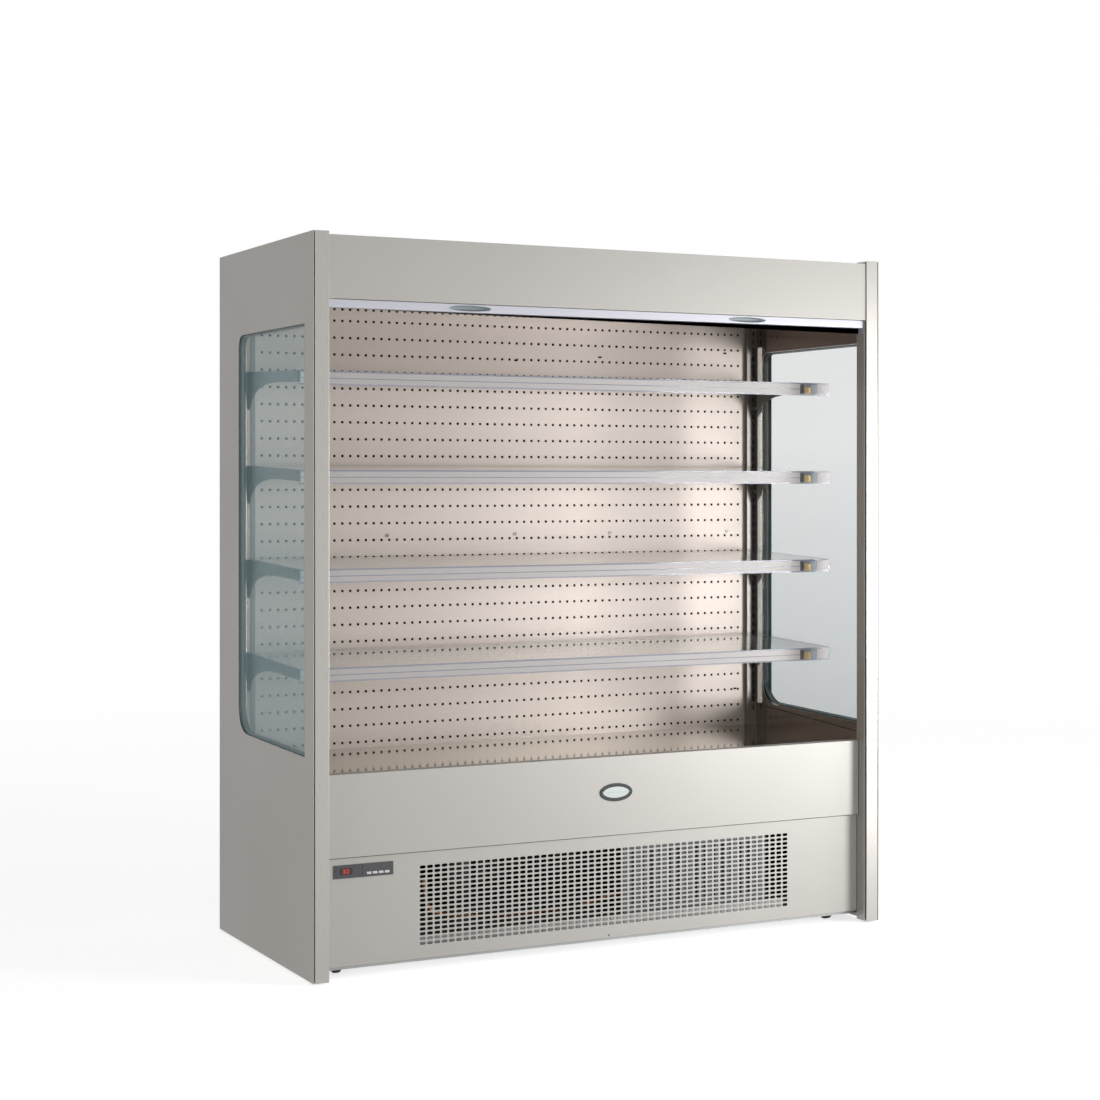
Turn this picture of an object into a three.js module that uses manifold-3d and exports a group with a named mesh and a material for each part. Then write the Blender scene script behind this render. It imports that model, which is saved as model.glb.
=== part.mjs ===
// Open multideck display fridge, in millimetres.
// X runs from left to right as seen from the front, Y to the rear and Z up.
// The origin is on the floor, in the middle of the cabinet's footprint.
import * as THREE from "three";
import { mergeVertices } from "three/addons/utils/BufferGeometryUtils.js";
import Module from "manifold-3d";

const wasm = await Module();
wasm.setup();

// ---------------------------------------------------------------------------
// Driving dimensions. A recess is measured back from the front of the posts.
// ---------------------------------------------------------------------------

// Whole cabinet
const WIDTH = 1800;
const DEPTH = 780;
const HEIGHT = 1980;
const GAP = 0.3; // between pieces that touch
const SHEET = 1.5; // folded steel sheet
const WALL_CLEARANCE = 6; // floor to the end walls and posts

// End walls, with a double glazed window in each
const WALL = 24;
const SKIN_LIP = 3; // the outer skin beside the post
const SKIN_LIP_RECESS = 1.5;
const WINDOW_FRONT_RECESS = 67;
const WINDOW_REAR_MARGIN = 173;
const WINDOW_TOP_MARGIN = 241;
const WINDOW_SILL_HEIGHT = 593;
const WINDOW_SILL_RISE = 12; // how much higher the sill is at the rear
const WINDOW_TOP_RADIUS = 40;
const WINDOW_SILL_RADIUS = 82;
const PANE = 5;
const PANE_INSET = 0.5; // pane face to wall face, and pane edge to its opening
const SPACER_WIDTH = 12;
const BREATHER = 3;

// Front posts
const POST_WIDTH = 40;
const POST_DEPTH = 52;
const SKIN_GAP = 2; // between the post and the skin
const POST_TUBE_WALL = 3;
const GROOVE_RECESS = 4;
const GROOVE_WIDTH = 8;
const GROOVE_DEPTH = 10;

// Roof, header and rear wall
const ROOF_DROP = 8; // the roof below the tops of the posts
const ROOF_THICKNESS = 40;
const REAR_WALL = 40;
const HEADER_RECESS = 4;
const HEADER_HEIGHT = 168.5;
const HEADER_HEM = 5;
const HEADER_FLANGE = 70;
const HEADER_SIDE_GAP = 0.7;

// Canopy: ceiling, air outlet and the blind's baffle
const CEILING_DROP = 140; // below the tops of the posts
const BAFFLE_RECESS = 80;
const OUTLET_DEPTH = 86;
const OUTLET_DROP = 22; // the outlet's ledges below the ceiling
const OUTLET_LEDGE = 10;
const OUTLET_BLOCK = 18;
const OUTLET_CELLS = 36;
const OUTLET_RIB = 6;

// Night blind
const BLIND_RECESS = 22.2;
const BLIND_CLOTH = 1.2;
const BLIND_EDGE_GAP = 19; // cloth to post, each side
const ROLLER_RADIUS = 26;
const ROLLER_GAP = 0.6;
const ROLLER_DROP = 84; // below the tops of the posts
const ROLLER_PIN_RADIUS = 7;
const ROLLER_PIN_END_GAP = 3; // pin to post
const PIN_CLEARANCE = 0.5;
const CHEEK = 3;
const CHEEK_INSET = 6;
const CHEEK_REACH = 52;
const CHEEK_DROP = 34; // below the roller's centre
const BAR_RECESS = 12;
const BAR_DEPTH = 26;
const BAR_HEIGHT = 22;
const BAR_WALL = 2;
const BAR_END_GAP = 1.5;
const BAR_HEADER_GAP = 1;
const BAR_SHOE = 2.5;
const BAR_SHOE_HANG = 17;
const GRIP_INSET = 412; // post to the middle of a grip
const GRIP_LENGTH = 124;
const GRIP_HEIGHT = 15;

// Front panels
const KICK_HEIGHT = 32;
const FASCIA_RECESS = 41;
const FASCIA_BOTTOM = 322;
const FASCIA_RISE = 14; // above the deck
const FASCIA_BOTTOM_LIP = 8;
const FASCIA_TOP_FLANGE = 35;
const FASCIA_SIDE_GAP = 1;
const VENT_RECESS = 51;
const VENT_FLANGE = 14;
const VENT_TOP_GAP = 3;
const VENT_SLOT_COLUMNS = 14;
const VENT_SLOT_ROWS = 8;
const VENT_LEFT_MARGIN = 281; // post to the slots
const VENT_RIGHT_MARGIN = 249;
const VENT_AREA_BOTTOM = 68.5;
const VENT_AREA_HEIGHT = 212.5;
const VENT_BAR_X = 14;
const VENT_BAR_Z = 9;
const BADGE_OFFSET = 24;
const BADGE_DROP = 101; // below the fascia's top
const BADGE_WIDTH = 104;
const BADGE_TALL = 51;
const BADGE_THICKNESS = 2.5;

// Controller and its four keys
const CONTROLLER_INSET = 116; // post to the middle of the bezel
const CONTROLLER_HEIGHT = 284;
const BEZEL_WIDTH = 171;
const BEZEL_TALL = 35.5;
const BEZEL_THICKNESS = 3;
const CONTROLLER_BODY_WIDTH = 158;
const CONTROLLER_BODY_TALL = 28;
const CONTROLLER_BODY_DEPTH = 55;
const CUTOUT_CLEARANCE = 0.5;
const KEYS = 4;
const KEY_WIDTH = 13.5;
const KEY_TALL = 6.5;
const KEY_PITCH = 17.3;
const KEY_GROUP_OFFSET = 41; // centre of the row of keys from the bezel's
const KEY_DROP = 8;
const KEY_LENGTH = 6;
const KEY_PROUD = 1.2;
const KEY_TRAVEL = 0.8;
const KEY_CLEARANCE = 0.4;

// Insulated well, return grille and deck
const TUB_RECESS = 57;
const TUB_FLOOR = 35;
const TUB_RISER = 35;
const DECK_HEIGHT = 530;
const TUB_RISER_DROP = 6; // below the deck
const RETURN_DEPTH = 73;
const RETURN_SLOTS = 26;
const RETURN_SLOT_LENGTH = 44;
const RETURN_RIB = 22;
const DECK_SKIRT = 22;
const DECK_LEG = 15;
const DECK_LEG_INSET = 30;

// Rear air duct, perforated panel and slotted uprights
const DUCT = 84; // perforated panel to rear wall
const PANEL_EDGE = 38; // panel edge to end wall
const PANEL_FLANGE = 30;
const UPRIGHT_PROUD = 16; // in front of the panel
const UPRIGHT_DEPTH = 35;
const SLOT_PITCH = 54;
const SLOT_TALL = 15;
const SLOT_WIDE = 5;
const SLOT_DEEP = 16;
const SLOT_TOP_MARGIN = 30;
const SLOT_BOTTOM_MARGIN = 40;

// Shelves
const SHELVES = 4;
const SHELF_FIRST_RISE = 283; // deck to the lowest shelf
const SHELF_HEADROOM = 180; // least height from the highest shelf to the ceiling
const SHELF_RECESS = 202;
const SHELF_SIDE_GAP = 13; // bracket to end wall
const SHELF_TILT = THREE.MathUtils.degToRad(2);
const SHELF_GLASS = 8;
const SHELF_REAR_GAP = 22; // bracket to upright
const BRACKET_PLATE = 3;
const BRACKET_REAR = 112;
const BRACKET_FRONT = 31;
const BRACKET_ARM = 150; // straight part of the arm before the arch
const BRACKET_LEDGE = 15;
const SHELF_BAR = 18;
const SHELF_BAR_INSET = 12;
const RAIL_TALL = 39;
const RAIL_PLATE = 2.5;
const RAIL_DEPTH = 12;
const RAIL_LIP = 11; // under the glass
const HOOK_TALL = 11;
const HOOK_DROP = 10;
const HOOK_BITE = 7;

// Base pan and castors
const BASE_BOTTOM = 21;
const BASE_SHEET = 3;
const CASTOR_CLEARANCE = 5; // swivelling castor to the pan's flanges
const CASTOR_REAR_GAP = 15; // rear wheel to the pan's rear flange
const CASTOR_PAD = 56;
const CASTOR_PAD_THICKNESS = 3;
const WHEEL_RADIUS = 31;
const WHEEL_WIDTH = 22;
const WHEEL_RIM = 4;
const CASTOR_TRAIL = 26;
const FORK_CLEARANCE = 1;
const CROWN_CLEARANCE = 10.7; // wheel to crown
const FORK_PLATE = 3;
const FORK_HEAD_RADIUS = 22;
const FORK_HEAD_REACH = 17.6;
const FORK_HEAD = 6;
const FORK_CROWN = 4;
const AXLE_RADIUS = 4;
const AXLE_CLEARANCE = 0.4;
const PEDAL_LENGTH = 26;
const PEDAL_PLATE = 3;
const PEDAL_DROP = THREE.MathUtils.degToRad(38);
const PEDAL_PIN_ANGLE = THREE.MathUtils.degToRad(46); // above the axle
const PEDAL_CLEARANCE = 1.5; // pedal to tyre
const PEDAL_PIN_RADIUS = 2.5;
const PEDAL_HUB_RADIUS = 5;

// Machine room
const COMPRESSOR_INSET = 546; // left end wall to the compressor's middle
const COMPRESSOR_RECESS = 400;
const COMPRESSOR_RADIUS = 85;
const COMPRESSOR_TERMINALS = 24;
const COMPRESSOR_TALL = 190;
const COMPRESSOR_BASE_ROUND = 16;
const COMPRESSOR_DOME = 56;
const COMPRESSOR_FOOT = 12;
const COMPRESSOR_FOOT_LENGTH = 220;
const CONDENSER_INSET = 566; // right end wall to the condenser's middle
const CONDENSER_WIDTH = 480;
const CONDENSER_TALL = 190;
const CONDENSER_DEPTH = 60;
const CONDENSER_RECESS = 82;
const CONDENSER_FINS = 15;
const FIN_GAP = 14;
const FIN_CUT = 8;
const SHROUD_PLATE = 2;
const SHROUD_RING = 22;
const SHROUD_RING_WALL = 2;
const FAN_RADIUS = 84;
const FAN_TIP_CLEARANCE = 4;
const FAN_BLADES = 5;
const FAN_HUB_RADIUS = 24;
const FAN_HUB_LENGTH = 18;
const FAN_BLADE_THICKNESS = 2;
const FAN_BLADE_SHARE = 0.8; // of the hub's length
const FAN_PITCH = THREE.MathUtils.degToRad(28);
const FAN_SHAFT_RADIUS = 4;
const FAN_SHAFT_CLEARANCE = 0.4;
const MOTOR_RADIUS = 42;
const MOTOR_LENGTH = 60;
const MOTOR_GAP = 6;
const MOTOR_STAND = 50;
const TRAY_LENGTH = 240;
const TRAY_DEPTH = 260;
const TRAY_TALL = 38;
const TRAY_WALL = 2.5;
const TRAY_SIDE_GAP = 76; // tray to end wall
const TRAY_REAR_GAP = 50; // tray to rear wall
const BOX_LENGTH = 150;
const BOX_DEPTH = 160;
const BOX_TALL = 130;
const BOX_SIDE_GAP = 25; // box to end wall
const BOX_RECESS = 230;
const BOX_LID = 4;
const PIPE_RADIUS = 6;
const PIPE_STEPS = 34;
const PIPE_STUB_HEIGHT = 120; // where it leaves the compressor
const PIPE_LOOP_WIDTH = 210; // the loop's left end from the compressor's middle
const PIPE_LOOP_RISE = 20; // the loop's top above the stub
const PIPE_LOOP_FOOT = 60;
const PIPE_BEND = 70;
const PIPE_RUN_HEIGHT = 30; // the low run's middle above the pan
const PIPE_RISER_START = 110; // where it climbs to the condenser
const PIPE_TAIL = 40; // its straight end
const GLAND_INSET = 176; // right end wall to the gland
const GLAND_HEIGHT = 190;
const GLAND_POCKET = 62;
const GLAND_POCKET_DEPTH = 26;
const GLAND_RADIUS = 13;
const GLAND_NUT_RADIUS = 21;
const GLAND_CAP_RADIUS = 10.5;
const GLAND_BORE = 5;
const GLAND_LENGTH = 20;

// Evaporator, on the floor of the well
const COIL_END_SPACE = 286; // coil to end wall
const COIL_DEPTH = 210;
const COIL_HEADROOM = 43; // coil to deck
const COIL_REAR_GAP = 60; // coil to the perforated panel's plane
const COIL_FINS = 20;
const COIL_FAN_MARGIN = 13; // blade tip to the top and bottom of the coil
const COIL_FAN_FORWARD = 70;
const COIL_FAN_PLATE = 2;
const COIL_MOTOR_RADIUS = 22;
const COIL_FAN_HUB_RADIUS = 15;
const COIL_FAN_HUB_LENGTH = 14;

// ---------------------------------------------------------------------------
// Places that follow from the dimensions
// ---------------------------------------------------------------------------

const FRONT = -DEPTH / 2;
const REAR = DEPTH / 2;
const INNER = WIDTH / 2 - WALL;
const POST_INNER = WIDTH / 2 - SKIN_LIP - SKIN_GAP - POST_WIDTH;
const BETWEEN_WALLS = INNER - GAP;
const BEHIND_POSTS = FRONT + POST_DEPTH + GAP;
const ROOF_TOP = HEIGHT - ROOF_DROP;
const ROOF_REBATE = SHEET + GAP; // where the header's flange lies on the roof
const ROOF_UNDERSIDE = ROOF_TOP - ROOF_REBATE - ROOF_THICKNESS;
const HEADER_BOTTOM = ROOF_TOP - HEADER_HEIGHT;
const REAR_WALL_FACE = REAR - REAR_WALL - GAP;
const CEILING = HEIGHT - CEILING_DROP;
const SHELF_LOWEST = DECK_HEIGHT + SHELF_FIRST_RISE;
const SHELF_SPACE = CEILING - SHELF_HEADROOM - SHELF_LOWEST;
const SHELF_PITCH = Math.floor(SHELF_SPACE / (SHELVES - 1) / SLOT_PITCH) * SLOT_PITCH;
const OUTLET_BOTTOM = CEILING - OUTLET_DROP;
const PANEL_FACE = REAR - REAR_WALL - DUCT;
const UPRIGHT_FACE = PANEL_FACE - UPRIGHT_PROUD;
const PANEL_HALF = INNER - PANEL_EDGE;
const CROWN_TOP = 2 * WHEEL_RADIUS + CROWN_CLEARANCE + FORK_CROWN;
const FORK_TOP = CROWN_TOP + FORK_HEAD;
const PAN_HEIGHT = FORK_TOP + GAP + CASTOR_PAD_THICKNESS;
const PAN_TOP = PAN_HEIGHT + BASE_SHEET;
const ON_PAN = PAN_TOP + GAP;
const TUB_BOTTOM = FASCIA_BOTTOM;
const TUB_FLOOR_TOP = TUB_BOTTOM + TUB_FLOOR;
const TUB_RISER_TOP = DECK_HEIGHT - TUB_RISER_DROP;
const IN_TUB = TUB_FLOOR_TOP + GAP;
const FASCIA_TOP = DECK_HEIGHT + FASCIA_RISE;
const RETURN_FRONT = FRONT + FASCIA_RECESS + FASCIA_TOP_FLANGE + GAP;
const DECK_FRONT = RETURN_FRONT + RETURN_DEPTH + GAP;
const DECK_REAR = PANEL_FACE - GAP;
const BAR_TOP = HEADER_BOTTOM - BAR_HEADER_GAP;
const GRIP_X = POST_INNER - GRIP_INSET;
const BADGE_Z = FASCIA_TOP - BADGE_DROP;
const CONTROLLER_X = CONTROLLER_INSET - POST_INNER;
const GLAND_X = INNER - GLAND_INSET;
const COMPRESSOR_X = COMPRESSOR_INSET - INNER;
const CONDENSER_X = INNER - CONDENSER_INSET;
const TRAY_X = INNER - TRAY_SIDE_GAP - TRAY_LENGTH / 2;
const TRAY_RECESS = DEPTH - REAR_WALL - TRAY_REAR_GAP - TRAY_DEPTH;
const BOX_X = BOX_SIDE_GAP + BOX_LID + BOX_LENGTH / 2 - INNER;
const COIL_WIDTH = 2 * (INNER - COIL_END_SPACE);
const COIL_FAN_X = COIL_WIDTH / 4;
const COIL_TALL = DECK_HEIGHT - COIL_HEADROOM - IN_TUB;
const COIL_FAN_RADIUS = COIL_TALL / 2 - COIL_FAN_MARGIN;
const ROLLER_Y = FRONT + BLIND_RECESS + BLIND_CLOTH + ROLLER_GAP + ROLLER_RADIUS;
const ROLLER_Z = HEIGHT - ROLLER_DROP;
const CHEEK_INNER = POST_INNER - CHEEK_INSET - CHEEK;
const BRACKET_OUTER = INNER - SHELF_SIDE_GAP;
const SHELF_DEPTH = UPRIGHT_FACE - SHELF_REAR_GAP - (FRONT + SHELF_RECESS);
const BASE_FRONT = FRONT + VENT_RECESS + VENT_FLANGE + GAP;
const FORK_INNER = WHEEL_WIDTH / 2 + FORK_CLEARANCE;
const FORK_OUTER = FORK_INNER + FORK_PLATE;
const PEDAL_PIN_RADIAL = WHEEL_RADIUS + PEDAL_CLEARANCE + PEDAL_HUB_RADIUS;
const PEDAL_PIN_Y = -CASTOR_TRAIL - PEDAL_PIN_RADIAL * Math.cos(PEDAL_PIN_ANGLE);
const PEDAL_PIN_Z = WHEEL_RADIUS + PEDAL_PIN_RADIAL * Math.sin(PEDAL_PIN_ANGLE);
const PEDAL_REACH = PEDAL_LENGTH * Math.cos(PEDAL_DROP) + PEDAL_PLATE - PEDAL_PIN_Y;
const CASTOR_SWEEP = Math.hypot(PEDAL_REACH, FORK_OUTER) + CASTOR_CLEARANCE;
const CASTOR_X = BETWEEN_WALLS - BASE_SHEET - CASTOR_SWEEP;
const FRONT_CASTOR_Y = BASE_FRONT + BASE_SHEET + CASTOR_SWEEP;
const REAR_CASTOR_Y = REAR_WALL_FACE - BASE_SHEET - CASTOR_REAR_GAP - WHEEL_RADIUS;
const HALF_TURN = Math.PI / 2;
const BURIED = 1; // how far joined pieces run into each other
const CURVE_STEPS = 8;
const ROUND_STEPS = 24;
const MERGE_TOLERANCE = 1e-4;

// ---------------------------------------------------------------------------
// Finishes
// ---------------------------------------------------------------------------

function finish(color, roughness, metalness, opacity = 1) {
  return new THREE.MeshStandardMaterial({
    color,
    roughness,
    metalness,
    opacity,
    transparent: opacity < 1,
  });
}

const PAINTED_PANEL = finish(0xb9b4ae, 0.45, 0.35);
const ANODISED = finish(0xc9c6c0, 0.35, 0.8);
const STAINLESS = finish(0xc8bcb2, 0.3, 0.9);
const GALVANISED = finish(0x9c9d9c, 0.5, 0.8);
const DARK_STEEL = finish(0x55585a, 0.5, 0.6);
const GLASS = finish(0xbfd8d4, 0.05, 0, 0.35);
const CLEAR_PLASTIC = finish(0xdfe2ea, 0.2, 0, 0.6);
const WHITE_ALUMINIUM = finish(0xe3e3ec, 0.35, 0.4);
const BLIND_CLOTH_FINISH = finish(0xd9d9d6, 0.8, 0);
const CHARCOAL = finish(0x4a4d50, 0.5, 0);
const PALE_KEY = finish(0xdedede, 0.5, 0);
const BLACK_ENAMEL = finish(0x1c1d1f, 0.4, 0.2);
const COPPER = finish(0xb06f45, 0.3, 0.9);
const FIN_ALUMINIUM = finish(0xb7babd, 0.4, 0.9);
const BLACK_PLASTIC = finish(0x26272a, 0.55, 0);
const WHEEL_RUBBER = finish(0x2d2e30, 0.8, 0);
const ZINC = finish(0x8d9093, 0.4, 0.9);

// ---------------------------------------------------------------------------
// Making and joining solids
// ---------------------------------------------------------------------------

// A closed geometry as a solid that can be joined and cut.
function solidOf(geometry) {
  const bare = geometry.clone();
  bare.deleteAttribute("normal");
  bare.deleteAttribute("uv");
  const merged = mergeVertices(bare, MERGE_TOLERANCE);
  return new wasm.Manifold(
    new wasm.Mesh({
      numProp: 3,
      vertProperties: merged.attributes.position.array,
      triVerts: new Uint32Array(merged.index.array),
    }),
  );
}

// A solid as a geometry again.
function geometryOf(solid) {
  const mesh = solid.getMesh();
  const geometry = new THREE.BufferGeometry();
  geometry.setAttribute("position", new THREE.BufferAttribute(mesh.vertProperties, 3));
  geometry.setIndex(new THREE.BufferAttribute(mesh.triVerts, 1));
  geometry.computeVertexNormals();
  return geometry;
}

function join(...geometries) {
  const solids = geometries.map(solidOf);
  return geometryOf(solids.slice(1).reduce((whole, next) => whole.add(next), solids[0]));
}

function cut(geometry, ...tools) {
  const solids = tools.map(solidOf);
  return geometryOf(solids.reduce((whole, tool) => whole.subtract(tool), solidOf(geometry)));
}

// A block between two corners, given as pairs of limits in any order.
function block([x0, x1], [y0, y1], [z0, z1]) {
  const box = new THREE.BoxGeometry(Math.abs(x1 - x0), Math.abs(y1 - y0), Math.abs(z1 - z0));
  return box.translate((x0 + x1) / 2, (y0 + y1) / 2, (z0 + z1) / 2);
}

// A block whose X limits are the same distance either side of the middle.
function across(half, yLimits, zLimits) {
  return block([-half, half], yLimits, zLimits);
}

// A closed outline, turned to run anticlockwise whichever way it is given.
function outline(points) {
  const corners = points.map(([u, v]) => new THREE.Vector2(u, v));
  return new THREE.Shape(THREE.ShapeUtils.isClockWise(corners) ? corners.reverse() : corners);
}

function extrude(shape, depth, curveSegments = CURVE_STEPS) {
  return new THREE.ExtrudeGeometry(shape, { depth, bevelEnabled: false, curveSegments });
}

// An outline in Y and Z, drawn out along X.
function alongX(shape, x0, x1) {
  const turn = new THREE.Matrix4().makeBasis(
    new THREE.Vector3(0, 1, 0),
    new THREE.Vector3(0, 0, 1),
    new THREE.Vector3(1, 0, 0),
  );
  return extrude(shape, x1 - x0).applyMatrix4(turn).translate(x0, 0, 0);
}

// An outline in X and Z, drawn out along Y.
function alongY(shape, y0, y1, curveSegments = CURVE_STEPS) {
  return extrude(shape, y1 - y0, curveSegments).rotateX(HALF_TURN).translate(0, y1, 0);
}

// An outline in X and Y, drawn out along Z.
function alongZ(shape, z0, z1) {
  return extrude(shape, z1 - z0).translate(0, 0, z0);
}

function ellipse(x, z, radiusX, radiusZ) {
  const shape = new THREE.Shape();
  shape.absellipse(x, z, radiusX, radiusZ, 0, 2 * Math.PI);
  return shape;
}

// Round bars on the named axis, centred on a point.
function barX(radius, x0, x1, y, z, steps = ROUND_STEPS) {
  const bar = new THREE.CylinderGeometry(radius, radius, x1 - x0, steps);
  return bar.rotateZ(-HALF_TURN).translate((x0 + x1) / 2, y, z);
}

function barY(radius, y0, y1, x, z, steps = ROUND_STEPS) {
  const bar = new THREE.CylinderGeometry(radius, radius, y1 - y0, steps);
  return bar.translate(x, (y0 + y1) / 2, z);
}

function barZ(radius, z0, z1, x, y, steps = ROUND_STEPS) {
  const bar = new THREE.CylinderGeometry(radius, radius, z1 - z0, steps);
  return bar.rotateX(HALF_TURN).translate(x, y, (z0 + z1) / 2);
}

// Evenly spaced centres, count of them, over a length about a middle.
function spread(count, length, middle = 0) {
  const pitch = length / count;
  return Array.from({ length: count }, (_, i) => middle - length / 2 + pitch * (i + 0.5));
}

function piece(group, name, geometry, material) {
  const mesh = new THREE.Mesh(geometry, material);
  mesh.name = name;
  group.add(mesh);
  return mesh;
}

const SIDES = [
  { word: "left", sign: -1 },
  { word: "right", sign: 1 },
];

const fridge = new THREE.Group();

// ---------------------------------------------------------------------------
// Shell: end walls, glass, posts, roof, header and rear wall
// ---------------------------------------------------------------------------

// The window's outline in Y and Z, drawn in by an inset all round.
function windowOutline(inset) {
  const front = FRONT + WINDOW_FRONT_RECESS + inset;
  const rear = REAR - WINDOW_REAR_MARGIN - inset;
  const top = HEIGHT - WINDOW_TOP_MARGIN - inset;
  const sill = WINDOW_SILL_HEIGHT + inset;
  const rearSill = sill + WINDOW_SILL_RISE;
  const sillRadius = WINDOW_SILL_RADIUS - inset;
  const topRadius = WINDOW_TOP_RADIUS - inset;
  const slope = WINDOW_SILL_RISE / (rear - front);
  const shape = new THREE.Shape();
  shape.moveTo(front, sill);
  shape.lineTo(rear - sillRadius, rearSill - slope * sillRadius);
  shape.quadraticCurveTo(rear, rearSill, rear, rearSill + sillRadius);
  shape.lineTo(rear, top - topRadius);
  shape.quadraticCurveTo(rear, top, rear - topRadius, top);
  shape.lineTo(front, top);
  return shape;
}

function endWall(sign) {
  const side = outline([
    [BEHIND_POSTS, WALL_CLEARANCE],
    [REAR, WALL_CLEARANCE],
    [REAR, HEIGHT],
    [BEHIND_POSTS, HEIGHT],
  ]);
  side.holes.push(windowOutline(0));
  const faces = [sign * INNER, (sign * WIDTH) / 2].sort((a, b) => a - b);
  const lip = block(
    [sign * (WIDTH / 2 - SKIN_LIP), (sign * WIDTH) / 2],
    [FRONT + SKIN_LIP_RECESS, BEHIND_POSTS + BURIED],
    [WALL_CLEARANCE, HEIGHT],
  );
  return join(alongX(side, ...faces), lip);
}

// Two panes held apart by a spacer, which a breather hole goes through.
function glazing(sign) {
  const inner = sign * (INNER + PANE_INSET);
  const outer = sign * (WIDTH / 2 - PANE_INSET);
  const faces = [inner, outer].sort((a, b) => a - b);
  const hollow = [faces[0] + PANE, faces[1] - PANE];
  const middle = (faces[0] + faces[1]) / 2;
  const breatherY = FRONT + WINDOW_FRONT_RECESS;
  const breatherZ = HEIGHT - WINDOW_TOP_MARGIN - 3 * SPACER_WIDTH;
  return cut(
    alongX(windowOutline(PANE_INSET), ...faces),
    alongX(windowOutline(PANE_INSET + SPACER_WIDTH), ...hollow),
    block(
      [middle - BREATHER / 2, middle + BREATHER / 2],
      [breatherY - BURIED, breatherY + 2 * SPACER_WIDTH],
      [breatherZ, breatherZ + BREATHER],
    ),
  );
}

// A hollow extrusion with a groove down its inner side.
function post(sign) {
  const inner = POST_INNER;
  const outer = POST_INNER + POST_WIDTH;
  const rear = FRONT + POST_DEPTH;
  const grooveFront = FRONT + GROOVE_RECESS;
  const grooveRear = grooveFront + GROOVE_WIDTH;
  const section = [
    [inner, FRONT],
    [outer, FRONT],
    [outer, rear],
    [inner, rear],
    [inner, grooveRear],
    [inner + GROOVE_DEPTH, grooveRear],
    [inner + GROOVE_DEPTH, grooveFront],
    [inner, grooveFront],
  ];
  const hollow = [
    [inner + POST_TUBE_WALL, grooveRear + POST_TUBE_WALL],
    [outer - POST_TUBE_WALL, grooveRear + POST_TUBE_WALL],
    [outer - POST_TUBE_WALL, rear - POST_TUBE_WALL],
    [inner + POST_TUBE_WALL, rear - POST_TUBE_WALL],
  ];
  const mirrored = (points) => points.map(([x, y]) => [sign * x, y]);
  const shape = outline(mirrored(section));
  shape.holes.push(outline(mirrored(hollow)));
  return alongZ(shape, WALL_CLEARANCE, HEIGHT);
}

// The roof's front edge is lowered to take the header's flange.
function roofPanel() {
  const flangeRear = FRONT + HEADER_RECESS + HEADER_FLANGE + GAP;
  const section = outline([
    [BEHIND_POSTS, ROOF_UNDERSIDE],
    [REAR_WALL_FACE, ROOF_UNDERSIDE],
    [REAR_WALL_FACE, ROOF_TOP],
    [flangeRear, ROOF_TOP],
    [flangeRear, ROOF_TOP - ROOF_REBATE],
    [BEHIND_POSTS, ROOF_TOP - ROOF_REBATE],
  ]);
  return alongX(section, -BETWEEN_WALLS, BETWEEN_WALLS);
}

function headerFascia() {
  const face = FRONT + HEADER_RECESS;
  const section = outline([
    [face, HEADER_BOTTOM],
    [face + HEADER_HEM, HEADER_BOTTOM],
    [face + HEADER_HEM, HEADER_BOTTOM + SHEET],
    [face + SHEET, HEADER_BOTTOM + SHEET],
    [face + SHEET, ROOF_TOP - SHEET],
    [face + HEADER_FLANGE, ROOF_TOP - SHEET],
    [face + HEADER_FLANGE, ROOF_TOP],
    [face, ROOF_TOP],
  ]);
  const half = POST_INNER - HEADER_SIDE_GAP;
  return alongX(section, -half, half);
}

// The rear wall has a pocket for the supply cable's gland, and a hole behind it.
function rearWall() {
  return cut(
    across(BETWEEN_WALLS, [REAR - REAR_WALL, REAR], [KICK_HEIGHT, ROOF_TOP]),
    block(
      [GLAND_X - GLAND_POCKET / 2, GLAND_X + GLAND_POCKET / 2],
      [REAR - GLAND_POCKET_DEPTH, REAR + BURIED],
      [GLAND_HEIGHT - GLAND_POCKET / 2, GLAND_HEIGHT + GLAND_POCKET / 2],
    ),
    barY(
      GLAND_BORE,
      REAR - REAR_WALL - BURIED,
      REAR - GLAND_POCKET_DEPTH + BURIED,
      GLAND_X,
      GLAND_HEIGHT,
      ROUND_STEPS / 2,
    ),
  );
}

function cableGland() {
  const seat = REAR - GLAND_POCKET_DEPTH + GAP;
  const half = GLAND_LENGTH / 2;
  return cut(
    join(
      barY(GLAND_NUT_RADIUS, seat, seat + GLAND_LENGTH / 4, GLAND_X, GLAND_HEIGHT, 6),
      barY(GLAND_RADIUS, seat, seat + half + BURIED, GLAND_X, GLAND_HEIGHT),
      barY(GLAND_CAP_RADIUS, seat + half, seat + GLAND_LENGTH, GLAND_X, GLAND_HEIGHT),
    ),
    barY(GLAND_BORE, seat - BURIED, REAR, GLAND_X, GLAND_HEIGHT, 12),
  );
}

const shell = new THREE.Group();
fridge.add(shell);
for (const { word, sign } of SIDES) {
  piece(shell, `end_wall_${word}`, endWall(sign), PAINTED_PANEL);
  piece(shell, `glazing_${word}`, glazing(sign), GLASS);
  piece(shell, `post_${word}`, post(sign), ANODISED);
}
piece(shell, "roof_panel", roofPanel(), GALVANISED);
piece(shell, "header_fascia", headerFascia(), PAINTED_PANEL);
piece(shell, "rear_wall", rearWall(), GALVANISED);
piece(shell, "cable_gland", cableGland(), BLACK_PLASTIC);

// ---------------------------------------------------------------------------
// Canopy: ceiling liner, air outlet and the blind on its roller
// ---------------------------------------------------------------------------

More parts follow.
